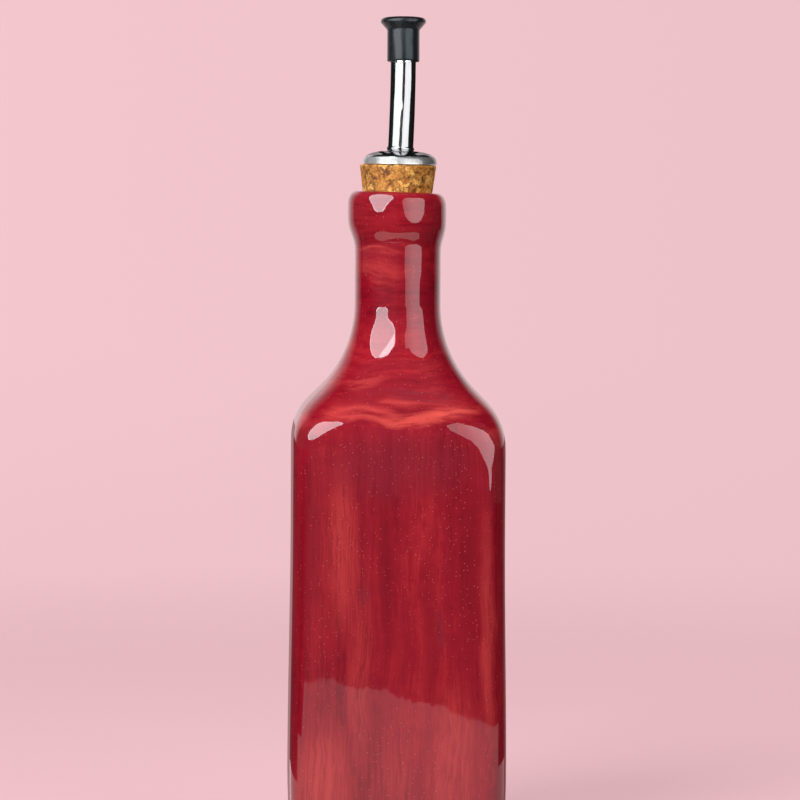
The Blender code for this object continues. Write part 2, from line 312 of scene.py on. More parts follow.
def section(half, roundness):
    """Rings of four wide arcs, which turn a few degrees either way, joined by four tight corner arcs.

    The tight radius grows with the roundness until all arcs are one circle, and
    the angles then spread evenly round it.
    """
    half, roundness = half[:, None], roundness[:, None]
    turn = math.radians(FACE_TURN)
    flat = (np.arange(FLAT_POINTS) / FLAT_POINTS * 2.0 - 1.0) * turn
    corner = turn + np.arange(CORNER_POINTS) / CORNER_POINTS * (math.pi / 2.0 - 2.0 * turn)
    side = FLAT_POINTS + CORNER_POINTS
    even = (np.arange(side) - FLAT_POINTS / 2.0) / side * math.pi / 2.0
    squarish = np.concatenate([flat, corner])
    angle = squarish + (even - squarish) * roundness
    tight = CORNER_RADIUS + (half - CORNER_RADIUS) * roundness
    wide = (half - tight * (math.cos(turn) - math.sin(turn))) / (1.0 + math.sin(turn) - math.cos(turn))
    core = half - wide + (wide - tight) * math.cos(turn)
    in_corner = angle > turn
    across = np.where(np.abs(angle) <= turn, wide, tight)
    x = np.where(across == wide, half - wide, core) + across * np.cos(angle)
    y = across * np.sin(angle) + np.where(across == wide, 0.0, np.where(in_corner, core, -core))
    turns = [(x, y), (-y, x), (-x, -y), (y, -x)]
    return np.concatenate([np.stack(pair, axis=2) for pair in turns], axis=1)


def softened(rings, round_passes, along_passes):
    """Average each point with its neighbours, 1 : 2 : 1, round the ring and along the outline."""
    for _ in range(round_passes):
        rings = (np.roll(rings, 1, axis=1) + 2.0 * rings + np.roll(rings, -1, axis=1)) / 4.0
    for _ in range(along_passes):
        inner = (rings[:-2] + 2.0 * rings[1:-1] + rings[2:]) / 4.0
        rings = np.concatenate([rings[:1], inner, rings[-1:]])
    return rings


def bottle_rings():
    """The outline swept through its sections, then leaned: height = z - x * slope."""
    half, z = outline.T
    share = np.clip((z - ROUNDING_START) / (ROUNDING_END - ROUNDING_START), 0.0, 1.0) ** ROUNDING_SKEW
    ring = section(half, smooth_step(share, 0.0, 1.0))
    x, y, level = ring[..., 0], ring[..., 1], z[:, None]
    slope = SHOULDER_SLOPE * smooth_step(level, LEAN_START, LEAN_FULL)
    slope = slope + (LIP_SLOPE - SHOULDER_SLOPE) * smooth_step(level, ROUNDING_END, LIP_FULL)
    shift = LIP_SHIFT * smooth_step(level, LIP_START, LIP_FULL)
    front = np.clip(-y / half[:, None], 0.0, 1.0) ** 2
    outside = half[:, None] > cork_radius(LIP_TOP) + 0.001
    nod = LIP_NOD * np.clip(level - NOD_START, 0.0, 0.010) * outside
    return softened(np.stack([x + shift, y - front * nod, level - x * slope], axis=2), 4, 5)


def shrunk(ring, shares):
    """Copies of one ring drawn in towards its own middle, one for each share."""
    middle = ring.mean(axis=0)
    return middle + (ring - middle)[None] * np.asarray(shares)[:, None, None]


body = bottle_rings()
body[0, :, 2] = 0.0
underside = shrunk(body[0], np.linspace(0.06, 0.97, 14))
socket_floor = shrunk(body[-1], [0.9, 0.6, 0.3])
all_rings = np.concatenate([underside, body, socket_floor])
bottle = skin("glazed_bottle", all_rings)
print("bottle is", np.round(np.ptp(all_rings.reshape(-1, 3), axis=0) * 1000, 1), "mm")

# %% [markdown]
# ## Cork
#
# Pressed cork is made of crumbs glued together. Each crumb has its own shade, the
# joints between crumbs are darker and a little sunken, and a few crumbs have
# fallen out. We scatter one seed point in each cell of a small lattice and find,
# for every point of the cork, its nearest and second nearest seed. The nearest
# seed names the crumb; where both are equally near there is a joint.

# %% Crumbs of cork
CRUMB = 0.0024
CRUMB_RELIEF = 0.00010
CHIP_DEPTH = 0.00028
SLOW_PUSH = 0.00050
QUICK_PUSH = 0.00016
JOINT_EDGE = (0.02, 0.22)


def lattice_noise(cell, salt):
    """A repeatable number from 0 to 1 for each lattice cell: the fraction of a large sine of its place."""
    phase = cell[..., 0] * 127.1 + cell[..., 1] * 311.7 + cell[..., 2] * 74.7 + salt * 53.3
    wave = np.sin(phase) * 43758.5453
    return wave - np.floor(wave)


def jostled(points):
    """Each coordinate is pushed by slow and quick sines of the next one, so that crumbs get bent sides."""
    turned = np.roll(points, 1, axis=-1)
    twice = np.roll(points, 2, axis=-1)
    slow = np.sin(turned * 1700.0 + np.sin(twice * 900.0) * 2.0)
    quick = np.sin(twice * 5300.0 + np.sin(turned * 3100.0) * 2.0)
    return points + SLOW_PUSH * slow + QUICK_PUSH * quick


def crumbs(points, size):
    """Shade of the nearest seed, and how near the joint to the next crumb is, from 0 away to 1 on it."""
    cell = np.floor(points / size)
    nearest = np.full(points.shape[:-1], 9.0)
    second = nearest.copy()
    shade = np.zeros(points.shape[:-1])
    offsets = np.stack(np.meshgrid(*[[-1, 0, 1]] * 3), axis=-1).reshape(-1, 3)
    for offset in offsets:
        here = cell + offset
        seed = here + np.stack([lattice_noise(here, k) for k in (1, 2, 3)], axis=-1)
        distance = np.linalg.norm(points / size - seed, axis=-1)
        closer = distance < nearest
        second = np.where(closer, nearest, np.minimum(second, distance))
        shade = np.where(closer, lattice_noise(here, 4), shade)
        nearest = np.where(closer, distance, nearest)
    return shade, 1.0 - smooth_step(second - nearest, *JOINT_EDGE)


# %% [markdown]
# The cork itself is a tapered plug. Its outline is carried round the axis, each
# point is pushed in at the joints and at missing crumbs, and the plug is put
# into the mouth with the same small lean as in the CAD model.

# %% Cork plug
CORK_SHIFT = -0.0002
POURER_TILT = math.radians(0.8)
CORK_EDGE = 0.0005
HUB_RADIUS = 0.0008
CORK_SPACING = 0.00027
CORK_COLUMNS = 300
LATTICE_START = 0.5
FINE_START = 0.7
FINE_CRUMB = 0.45 * CRUMB
FINE_RELIEF = 0.35
FINE_JOINT = 0.55
CHIPPED_ABOVE = 0.93


def turned_about(axis, angle):
    """Rotation matrix about x (0) or y (1), in the right-handed sense."""
    c, s = math.cos(angle), math.sin(angle)
    if axis == 0:
        return np.array([[1, 0, 0], [0, c, -s], [0, s, c]])
    return np.array([[c, 0, s], [0, 1, 0], [-s, 0, c]])


def cork_outline():
    """Bottom disc, tapered side and a top disc with a worn edge, heights from the lip."""
    top = CORK_TOP - LIP_TOP
    low = cork_radius(LIP_TOP - CORK_DEPTH)
    edge = arc(CORK_TOP_RADIUS - CORK_EDGE, top - CORK_EDGE, CORK_EDGE, CORK_EDGE, 0.0, 90.0, 6)
    return np.concatenate([[[HUB_RADIUS, -CORK_DEPTH], [low, -CORK_DEPTH]], edge, [[HUB_RADIUS, top]]])


cork_place = place_matrix(turned_about(1, POURER_TILT), [CORK_SHIFT, 0.0, LIP_TOP])
cork_points = spun(evenly(cork_outline(), CORK_SPACING), CORK_COLUMNS)
crumb_shade, crumb_joint = crumbs(jostled(cork_points) + LATTICE_START, CRUMB)
fine_shade, fine_joint = crumbs(jostled(cork_points) + FINE_START, FINE_CRUMB)
missing = (fine_shade > CHIPPED_ABOVE) * (1.0 - fine_joint)
pushed = CRUMB_RELIEF * (crumb_joint + FINE_RELIEF * fine_joint) + CHIP_DEPTH * missing
inward = cork_points * [1.0, 1.0, 0.0]
inward = inward / np.maximum(np.linalg.norm(inward, axis=2, keepdims=True), 1e-6)
cork_points = cork_points - inward * (pushed * (cork_points[..., 2] > -CORK_DEPTH))[..., None]
cork = skin("cork_plug", moved(cork_points, cork_place))
joint = np.maximum(crumb_joint, FINE_JOINT * fine_joint)
for name, values in [("crumb_shade", crumb_shade), ("fine_shade", fine_shade), ("crumb_joint", joint),
                     ("missing", missing)]:
    store(cork, name, values)

# %% [markdown]
# ## Chrome flange
#
# The flange is stamped from thin metal. Its dome is nearly level round the spout
# and turns down steeply at the side. A circle would be too round for that, so
# the outline is a squarish oval, and two powers say how square it is. It covers
# the cork, so its lower edge is drawn down almost onto it.

# %% Flange
FLANGE_SHIFT = 0.0006
FLANGE_RADIUS = 0.01208
FLANGE_RIM = 0.0003
FLANGE_HEIGHT = 0.0044
FLANGE_SIDE_POWER = 3.25
FLANGE_CROWN_POWER = 2.5
RIM_DROP = 0.00022
FLANGE_SPACING = 0.00025
FLANGE_COLUMNS = 240


def flange_outline():
    """Underside, then a squarish oval dome: (r / R) to a power plus (z / H) to another makes 1."""
    turn = np.linspace(0.0, math.pi / 2.0, 120)[1:-1]
    r = FLANGE_RADIUS * np.sin(turn) ** (2.0 / FLANGE_SIDE_POWER)
    z = FLANGE_RIM + (FLANGE_HEIGHT - FLANGE_RIM) * np.cos(turn) ** (2.0 / FLANGE_CROWN_POWER)
    rim = arc(FLANGE_RADIUS - FLANGE_RIM, FLANGE_RIM - RIM_DROP, FLANGE_RIM, FLANGE_RIM, -90.0, 0.0, 6)
    return np.concatenate([[[HUB_RADIUS, -RIM_DROP]], rim, np.column_stack([r, z])[::-1]])


flange_place = cork_place @ place_matrix(np.eye(3), [FLANGE_SHIFT, 0.0, CORK_TOP - LIP_TOP + TOUCH_GAP])
flange_rings = softened(spun(evenly(flange_outline(), FLANGE_SPACING), FLANGE_COLUMNS), 0, 2)
flange = skin("chrome_flange", moved(flange_rings, flange_place))

# %% [markdown]
# ## Chrome spout
#
# The spout is a thin tube, bent a little by hand. A circle is carried along a
# curved centre line: at each height the ring is shifted sideways by a bow and
# backwards by a parabola. A rounded bead at its foot sits on the flange. The
# open end is hidden in the cap, so it stays a plain rod, as in the CAD model.

# %% Spout
TUBE_SHIFT = 0.0001
TUBE_RADIUS = 0.00413
TUBE_LENGTH = 0.0362
TUBE_BOW = 0.0004
TUBE_BOW_HEIGHT = 0.0235
TUBE_BACK = 0.0012
BEAD_RADIUS = 0.0045
BEAD_HEIGHT = 0.0010
FOOT_DROP = -0.0004
TUBE_COLUMNS = 128


def spout_centre(h):
    """Sideways bow 2u - u^2 and backward travel t^2 of the centre line at height h."""
    u, t = h / TUBE_BOW_HEIGHT, h / TUBE_LENGTH
    return TUBE_BOW * (2.0 * u - u * u), TUBE_BACK * t * t


def spout_lean(h):
    """Slopes of the centre line, sideways and backwards, at height h."""
    return (TUBE_BOW * (2.0 - 2.0 * h / TUBE_BOW_HEIGHT) / TUBE_BOW_HEIGHT,
            TUBE_BACK * 2.0 * h / TUBE_LENGTH ** 2)


def spout_radius(h):
    """Tube radius, plus the later part of half a sine wave over the lowest part, which is the bead."""
    share = np.clip(h / BEAD_HEIGHT, 0.0, 1.0)
    return TUBE_RADIUS + (BEAD_RADIUS - TUBE_RADIUS) * np.sin(math.pi * (0.2 + 0.8 * share))


def spout_rings(count):
    """Circles about the curved centre line, each tilted square to it."""
    h = np.concatenate([[FOOT_DROP], np.linspace(0.0, BEAD_HEIGHT, 18)[:-1],
                        np.linspace(BEAD_HEIGHT, TUBE_LENGTH, 110)])
    turn = np.arange(count) / count * math.tau
    side, back = spout_centre(h)
    side_slope, back_slope = spout_lean(h)
    radius = spout_radius(h)[:, None]
    x, y = radius * np.cos(turn), radius * np.sin(turn)
    z = h[:, None] - x * side_slope[:, None] - y * back_slope[:, None]
    return np.stack([side[:, None] + x, back[:, None] + y, z], axis=2)


tube_place = flange_place @ place_matrix(np.eye(3), [TUBE_SHIFT, 0.0, FLANGE_HEIGHT + TOUCH_GAP])
tube = skin("chrome_spout", moved(spout_rings(TUBE_COLUMNS), tube_place))

# %% [markdown]
# ## Black cap
#
# The cap is moulded in soft black plastic: a straight skirt, a cone that flares
# out to the rim, a rounded rim and a nearly level crown. It is pushed over the
# spout, so it follows the lean of the spout's end.

# %% Cap
CAP_RADIUS = 0.00532
CAP_SKIRT = 0.0104
CAP_FLARE_RADIUS = 0.00746
CAP_FLARE_TOP = 0.0131
CAP_HEIGHT = 0.0146
CAP_RIM_ROUND = 0.0012
CAP_SOCKET = 0.0072
CAP_HUB = 0.0006
SKIRT_ROUND = 0.00025
CAP_SPACING = 0.00018
CAP_COLUMNS = 160


def cap_outline():
    """From the socket's roof down its wall, round the skirt's edge, up the flare and over the crown."""
    bore = TUBE_RADIUS + TOUCH_GAP
    crown = CAP_FLARE_RADIUS - CAP_RIM_ROUND
    lip = arc(CAP_RADIUS - SKIRT_ROUND, SKIRT_ROUND, SKIRT_ROUND, SKIRT_ROUND, -90.0, 0.0, 6)
    rim = arc(crown, CAP_FLARE_TOP, CAP_RIM_ROUND, CAP_HEIGHT - 0.0003 - CAP_FLARE_TOP, 0.0, 90.0, 24)
    return np.concatenate([
        [[CAP_HUB, CAP_SOCKET + TOUCH_GAP], [bore, CAP_SOCKET + TOUCH_GAP], [bore, 0.0]],
        lip,
        [[CAP_RADIUS, CAP_SKIRT - 0.0002], [CAP_RADIUS + 0.0002, CAP_SKIRT + 0.0002]],
        [[CAP_FLARE_RADIUS - 0.0001, CAP_FLARE_TOP - 0.0004]],
        rim,
        [[crown * 0.93, CAP_HEIGHT - 0.00045], [crown * 0.86, CAP_HEIGHT - 0.0004]],
        [[crown * 0.6, CAP_HEIGHT - 0.0001], [CAP_HUB, CAP_HEIGHT]],
    ])


half_socket = CAP_SOCKET / 2.0
cap_side, cap_back = spout_centre(TUBE_LENGTH - half_socket)
cap_side_slope, cap_back_slope = spout_lean(TUBE_LENGTH - half_socket)
cap_origin = [cap_side - half_socket * cap_side_slope, cap_back - half_socket * cap_back_slope,
              TUBE_LENGTH - CAP_SOCKET]
cap_turn = turned_about(1, math.atan(cap_side_slope)) @ turned_about(0, -math.atan(cap_back_slope))
cap_place = tube_place @ place_matrix(cap_turn, cap_origin)
cap_rings = softened(spun(evenly(cap_outline(), CAP_SPACING), CAP_COLUMNS), 0, 1)
cap = skin("black_cap", moved(cap_rings, cap_place))

# %% [markdown]
# ## Stage and light
#
# The bottle stands on a pale pink floor in front of a pale pink background. In a
# glossy glaze the lamps are seen as much as they are felt, so two kinds of light
# are kept apart. Area lamps light the surfaces but can't be seen. Bright cards
# do the opposite: they only show as reflections, so their shapes can be chosen
# freely. No card is seen by the camera.

# %% Small tools that place nodes
def connect(node, inputs):
    """Each input takes a number, a colour of three numbers or another node's output."""
    for name, value in inputs.items():
        socket = node.inputs[name]
        if isinstance(value, bpy.types.NodeSocket):
            node.id_data.links.new(value, socket)
        else:
            socket.default_value = (*value, 1.0) if socket.type == "RGBA" else value


def put(tree, kind, inputs=None, output=0, **settings):
    """A new node with its settings and inputs. Gives back one of its outputs, or the node if it has none."""
    node = tree.nodes.new(kind if kind.startswith("NodeGroup") else "ShaderNode" + kind)
    for name, value in settings.items():
        setattr(node, name, value)
    connect(node, inputs or {})
    return node.outputs[output] if len(node.outputs) else node


def maths(tree, operation, *values):
    """The result of one Math node."""
    return put(tree, "Math", dict(enumerate(values)), operation=operation)


def times(tree, first, second):
    """The product of two numbers."""
    return maths(tree, "MULTIPLY", first, second)


def vector_maths(tree, operation, *values, output="Vector"):
    """The result of one Vector Math node; lengths and dot products come out as its Value."""
    return put(tree, "VectorMath", dict(enumerate(values)), output, operation=operation)


def parts(tree, vector):
    """The x, y and z of a vector."""
    return tuple(put(tree, "SeparateXYZ", {0: vector}).node.outputs)


def ramp(tree, value, low, high, start=0.0, end=1.0, steps="SMOOTHSTEP"):
    """A number carried from the range low..high to start..end, held at both ends."""
    inputs = {"Value": value, "From Min": low, "From Max": high, "To Min": start, "To Max": end}
    return put(tree, "MapRange", inputs, interpolation_type=steps)


def mixed(tree, share, first, second):
    """Two colours blended by a share from 0 to 1."""
    return put(tree, "Mix", {0: share, 6: first, 7: second}, 2, data_type="RGBA")


def blended(tree, share, first, second):
    """Two numbers blended by a share: first + share * (second - first)."""
    return put(tree, "Mix", {0: share, 2: first, 3: second}, data_type="FLOAT")


def noise(tree, vector, scale, detail, roughness=0.5, output="Fac"):
    """Cloudy noise, from 0 to 1; the scale is in waves a metre."""
    inputs = {"Vector": vector, "Scale": scale, "Detail": detail, "Roughness": roughness}
    return put(tree, "TexNoise", inputs, output)


def emptied(owner):
    """The node tree of a world or a material, with nothing in it."""
    owner.use_nodes = True
    owner.node_tree.nodes.clear()
    return owner.node_tree


def from_camera_side(azimuth, elevation, distance, height=0.0):
    """A point seen from the bottle: azimuth in degrees from the camera, positive to the right."""
    angle = math.radians(azimuth) - CAMERA_AZIMUTH
    reach = distance * math.cos(math.radians(elevation))
    return np.array([reach * math.sin(angle), -reach * math.cos(angle),
                     height + distance * math.sin(math.radians(elevation))])


# %% World
BACKDROP_LEFT = (0.895, 0.566, 0.610)
BACKDROP_RIGHT = (0.845, 0.538, 0.582)
BACKDROP_LOW = (0.840, 0.522, 0.568)
ROOM_DARK = (0.004, 0.004, 0.005)
ROOM_FRONT_LEFT = (0.23, 0.215, 0.22)
ROOM_FRONT_RIGHT = (0.13, 0.115, 0.12)
WALL_BEHIND = (1.17, 1.04, 1.06)
WALL_NEAR_BACKDROP = (0.80, 0.62, 0.64)
# Where each change starts and ends, as cosines of the angle from the camera, from its right or from upright
HORIZON = (0.62, 0.35)
HORIZON_TILT = 0.24
WALL_FROM = (-0.40, -0.84)
NEAR_BACKDROP = (-0.955, -0.99)
FRONT_FROM = (0.05, 0.80)
FRONT_SIDES = (-0.14, 0.14)
SEEN_SIDES = (-0.10, 0.10)
SEEN_FOOT = (-0.13, -0.04)

world = bpy.data.worlds.new("room")
scene.world = world
tree = emptied(world)
direction = put(tree, "TexCoord", output="Generated")
facing, sideways = [
    vector_maths(tree, "DOT_PRODUCT", direction, tuple(from_camera_side(azimuth, 0.0, 1.0)), output="Value")
    for azimuth in (0.0, 90.0)]
upward = parts(tree, direction)[2]
rising = maths(tree, "MULTIPLY_ADD", sideways, HORIZON_TILT, upward)
behind = times(tree, ramp(tree, facing, *WALL_FROM, steps="LINEAR"),
               ramp(tree, rising, *HORIZON, steps="LINEAR"))
wall = mixed(tree, ramp(tree, facing, *NEAR_BACKDROP), WALL_BEHIND, WALL_NEAR_BACKDROP)
in_front = mixed(tree, ramp(tree, sideways, *FRONT_SIDES), ROOM_FRONT_LEFT, ROOM_FRONT_RIGHT)
front = mixed(tree, ramp(tree, facing, *FRONT_FROM), ROOM_DARK, in_front)
room = mixed(tree, behind, front, wall)
backdrop = mixed(tree, ramp(tree, sideways, *SEEN_SIDES, steps="LINEAR"), BACKDROP_LEFT, BACKDROP_RIGHT)
backdrop = mixed(tree, ramp(tree, upward, *SEEN_FOOT, steps="LINEAR"), BACKDROP_LOW, backdrop)
mirrored, seen = [put(tree, "Background", {"Color": colour, "Strength": 1.0})
                  for colour in (room, backdrop)]
by_camera = put(tree, "LightPath", output="Is Camera Ray")
both = put(tree, "MixShader", {0: by_camera, 1: mirrored, 2: seen})
put(tree, "OutputWorld", {"Surface": both})
print("world:", len(tree.nodes), "nodes")


# %% Floor
FLOOR_RADIUS = 1.1
FLOOR_SIDES = 96
FLOOR_FADE = (0.30, 1.0)
FLOOR_GLOW = (0.548, 0.336, 0.366)
FLOOR_COLOUR = (0.38, 0.237, 0.258)


def stage_mesh(name, points, faces, material, camera=False, glossy=False):
    """A plain mesh of the stage, seen only by the camera or only in reflections. It throws no shadow."""
    obj = add_mesh(name, points, faces)
    obj.data.materials.append(material)
    obj.visible_camera = camera
    obj.visible_glossy = obj.visible_transmission = glossy
    obj.visible_diffuse = obj.visible_shadow = False


floor_paint = bpy.data.materials.new("floor_paint")
tree = emptied(floor_paint)
from_middle = vector_maths(tree, "LENGTH", put(tree, "TexCoord", output="Object"), output="Value")
matt = put(tree, "BsdfDiffuse", {"Color": FLOOR_COLOUR})
glow = put(tree, "Emission", {"Color": FLOOR_GLOW, "Strength": 1.0})
lit = put(tree, "AddShader", {0: matt, 1: glow})
clear = put(tree, "BsdfTransparent")
faded = put(tree, "MixShader", {0: ramp(tree, from_middle, *FLOOR_FADE), 1: lit, 2: clear})
put(tree, "OutputMaterial", {"Surface": faded})
turn = np.arange(FLOOR_SIDES) / FLOOR_SIDES * math.tau
disc = np.column_stack([np.cos(turn), np.sin(turn), np.zeros(FLOOR_SIDES)]) * FLOOR_RADIUS
stage_mesh("floor", disc, [list(range(FLOOR_SIDES))], floor_paint, camera=True)
print("floor:", 2 * FLOOR_RADIUS, "m across")

# %% [markdown]
# What the glaze mirrors is set up by itself. In front the floor is lit as far as
# a slanting, slightly ragged edge: a round patch with a low rim, whose height
# gives that edge. The lamps are cards, each bent round the bottle like paper on
# a drum. An outline is a list of points, each an azimuth in degrees from the
# camera and a height in millimetres. A big card stands far to the right and
# another to the left. Small ones close by are each seen by one part only: the
# lip, a shoulder, the spout, the flange or the cap. A dim shade behind them
# hides the big cards from that part, and a dim collar above the shoulder hides
# the lip's cards from the shoulder.

# %% Mirrored floor
FLOOR_LIGHT = (1.06, 0.77, 0.80)
RIM_RADIUS = 330
RIM_HEIGHTS = [
    (-125, 4), (-70, 4), (-62, 31), (-12.9, 31.1), (-3.6, 30.1), (-2.1, 27), (2.6, 25.3), (4.6, 21.7),
    (7.6, 19.7), (9.8, 17.8), (11.3, 14.2), (12.9, 12.9), (20.6, 12.6), (75.9, 9.4), (125, 12)]
RIM_END = 125
RIM_POINTS = 626
RIM_RAGGED = 1.1
RAGGED_WITHIN = 16
FAR_BACK = 1000


def on_drum(radius, outline):
    """Points in metres of an outline on a drum round the bottle: x = r sin a, y = -r cos a, z as given.

    The radius and the heights are in millimetres, the azimuths in degrees.
    """
    azimuth, height = np.asarray(outline, float).T
    angle = np.radians(azimuth) - CAMERA_AZIMUTH
    return np.column_stack([radius * np.sin(angle), -radius * np.cos(angle), height]) / 1000.0


def strip_faces(count, offset):
    """Four-sided faces between two rows of points whose numbers differ by the offset."""
    return [[k, k + 1, k + 1 + offset, k + offset] for k in range(count - 1)]


def changing(tree, start, end, first, last, both_sides=False):
    """A strength that goes from first to last between two azimuths, or alike on both sides of the front.

    These azimuths are measured from the bottle's own front.
    """
    x, y, _ = parts(tree, put(tree, "TexCoord", output="Object"))
    azimuth = maths(tree, "ARCTAN2", x, times(tree, y, -1.0))
    if both_sides:
        azimuth = maths(tree, "ABSOLUTE", azimuth)
    return ramp(tree, azimuth, math.radians(start), math.radians(end), first, last)


def glowing(name, strength, colour, inside_only=False):
    """A material that only gives off light; with inside_only it is clear from its front, outer side.

    The strength is a number, or the values that `changing` takes.
    """
    material = bpy.data.materials.new(name + "_light")
    tree = emptied(material)
    if isinstance(strength, tuple):
        strength = changing(tree, *strength)
    light = put(tree, "Emission", {"Color": colour, "Strength": strength})
    if inside_only:
        from_inside = put(tree, "NewGeometry", output="Backfacing")
        clear = put(tree, "BsdfTransparent")
        light = put(tree, "MixShader", {0: from_inside, 1: clear, 2: light})
    put(tree, "OutputMaterial", {"Surface": light})
    return material


azimuths = np.linspace(-RIM_END, RIM_END, RIM_POINTS)
ragged = np.sin(azimuths * 5.1) * np.sin(azimuths * 2.3 + 1.0) + 0.5 * np.sin(azimuths * 9.7 + 0.6)
rim_edge = np.interp(azimuths, *np.transpose(RIM_HEIGHTS))
rim_edge = rim_edge + RIM_RAGGED * ragged * (np.abs(azimuths) < RAGGED_WITHIN)
rim_top = on_drum(RIM_RADIUS, np.column_stack([azimuths, rim_edge]))
rim_foot = rim_top * [1.0, 1.0, 0.0]
far_back = on_drum(FAR_BACK, [(130, 0), (180, 0), (230, 0)])
ground = list(range(RIM_POINTS + len(far_back)))
stage_mesh("mirror_floor", np.concatenate([rim_foot, far_back, rim_top]),
           [ground] + strip_faces(RIM_POINTS, len(ground)),
           glowing("mirror_floor", 1.0, FLOOR_LIGHT), glossy=True)
print("mirrored floor: its rim is", round(rim_edge.min(), 1), "to", round(rim_edge.max(), 1), "mm high")

# %% Outlines of the big cards
RIGHT_CARD = [
    (20, 152), (20.5, 176), (23.6, 190), (23.7, 420), (26.3, 500), (27, 800), (34.5, 930), (46, 1020),
    (60, 1050), (68, 1010), (79.5, 790), (80, 675), (77.9, 590), (75.8, 510), (73.8, 420), (72.4, 300),
    (69.8, 230), (69, 198), (64, 184), (60.5, 168), (60, 152)]
LEFT_CARD = [
    (-40, 182.7), (-47, 183.8), (-53, 190), (-56.6, 200.4), (-56, 222), (-58.3, 240), (-63.4, 257.5),
    (-68.1, 283.2), (-69.6, 318), (-68.8, 362.1), (-67.6, 395), (-65.4, 420.9), (-62.6, 458.6),
    (-53.6, 512.9), (-45, 528), (-36, 526.4), (-20.1, 485.1), (-15.9, 449.2), (-11.7, 417.8), (-7.3, 390),
    (-5.6, 365), (-6.6, 322.2), (-7.1, 287.3), (-9.8, 271.8), (-12.5, 257), (-20.3, 242.4), (-25.7, 228.5),
    (-26, 202.6), (-27, 192.5), (-32, 183.6)]
BRIGHT_CORNER = [
    (-44.8, 519.7), (-37.4, 457.5), (-27.7, 406.5), (-18.6, 355.8), (-11.7, 321), (-6.9, 302.9),
    (-5.6, 359.7), (-9, 409.2), (-17.8, 465.8), (-30.6, 509.4)]

# %% Outlines of the small cards
LIP_LEFT = [
    (-62, 236), (-57, 223.5), (-54.5, 220), (-50, 216.5), (-47, 213.6), (-44.7, 211.4), (-42.4, 209.8),
    (-40.4, 208.8), (-36, 207.9), (-31, 207.5), (-26, 208), (-22.6, 209), (-20.6, 210.2), (-17.5, 212.4),
    (-13.9, 215.5), (-11, 219.5), (-9, 222.8), (-10.4, 234.3), (-18, 247.8), (-41, 270), (-58, 255)]
LIP_RIGHT = [
    (14.2, 224.6), (9.1, 218.2), (8.6, 213), (9.8, 209), (11.9, 206.6), (15.4, 204.7), (18.9, 203.7),
    (24.3, 202.6), (31, 202.2), (37.4, 202.9), (41.3, 204.1), (45.3, 206), (49, 207.5), (49.7, 210.5),
    (51.4, 215.6), (54.1, 219.7), (54.9, 226), (50, 228.5), (20, 228.5)]
UNDER_LIP = [
    (-34.4, 199.2), (-37, 198.5), (-38, 197.8), (-37.2, 197.1), (-32.3, 196.6), (-23.5, 196.5),
    (-15, 196.8), (-2.3, 197.25), (8.6, 197.25), (18.2, 196.9), (25, 196.6), (33.1, 197.2), (34.4, 198.2),
    (31.5, 199.7), (25.4, 200.4), (18.1, 200.1), (7.9, 199.8), (-2, 199.6), (-12.1, 199.8), (-19.2, 200.3),
    (-26.8, 200.3)]
NECK_TOP = [
    (26, 181.8), (19, 184.5), (16, 187.5), (16, 194), (58, 194), (57, 187.5), (52, 184.5), (44, 181.8)]
LEFT_CRESCENT = [
    (-27.7, 160.8), (-21.4, 156.1), (-19.9, 153.7), (-21.4, 151.2), (-25.5, 150.5), (-28.9, 149.6),
    (-31.5, 147.5), (-34.1, 145.6), (-35.9, 143.7), (-37.8, 141.9), (-40.9, 140.3), (-43.5, 139.3),
    (-46.5, 139.6), (-48.6, 141.6), (-50.5, 144), (-52, 148.6), (-51.8, 155), (-52.3, 158), (-50.2, 162.3),
    (-44.7, 164.5)]
RIGHT_CRESCENT = [
    (21.2, 153.5), (22.4, 147.3), (25.3, 143.1), (28.2, 139.4), (31.5, 136.4), (35.7, 134.5), (37.7, 131.1),
    (40.5, 128.2), (43, 125.3), (44, 122.4), (44.3, 118.5), (45.3, 118.5), (46.2, 121.1), (46.4, 126.2),
    (49.4, 130), (52.1, 133.4), (53.4, 135.7), (52.8, 142.1), (54, 146.2), (52, 151.1), (44, 156.3),
    (34, 158), (26, 157)]
TUBE_LEFT = [
    (-58, 228.6), (-58, 245.5), (-55, 250.2), (-55, 257.7), (11, 257.7), (9, 250), (8, 245.5), (13, 243.6),
    (12, 242.8), (3, 241.5), (-2, 238.6), (-1, 237.4), (-5, 235.2), (-4, 234), (-6, 231.7), (-7, 228.6)]
TUBE_RIGHT = [
    (12, 228.6), (14, 234), (15, 236.3), (18, 240), (21, 243.2), (24, 246.5), (26, 250.2), (29, 257.7),
    (65, 257.7), (64, 252.5), (60, 247.9), (55.5, 243), (53, 238.6), (51, 234), (51, 228.6)]
FLANGE_LEFT = [
    (-47, 223.2), (-47, 230.5), (-56, 233.5), (-68, 237), (-68, 244), (-30, 254), (-14, 254), (-8, 244),
    (-6, 232), (-6, 223.2)]
FLANGE_SKY = [
    (-56, 228.8), (-58, 231.8), (-40, 236.5), (-20, 238.5), (-7, 239.5), (-7, 228.2), (-30, 228.4)]
CAP_LEFT = [
    (-49, 258.8), (-50, 261.5), (-54, 263.4), (-59, 265.4), (-66, 267.3), (-69, 269.3), (-69, 271.2),
    (-14, 271.2), (-13, 268.5), (-6, 265.8), (-3, 263.8), (-5, 261.5), (-6, 258.8)]
CAP_RIGHT = [
    (24, 258.8), (22, 263), (18, 265.7), (17, 271.2), (65, 271.2), (64, 266.4), (50, 266), (50, 265),
    (64, 264.6), (65, 258.8)]
SHEET_STEPS = 5


def sheet(start, end, low, high):
    """The outline of an upright sheet between two azimuths and two heights."""
    across = np.linspace(start, end, SHEET_STEPS)
    return [(a, low) for a in across] + [(a, high) for a in across[::-1]]


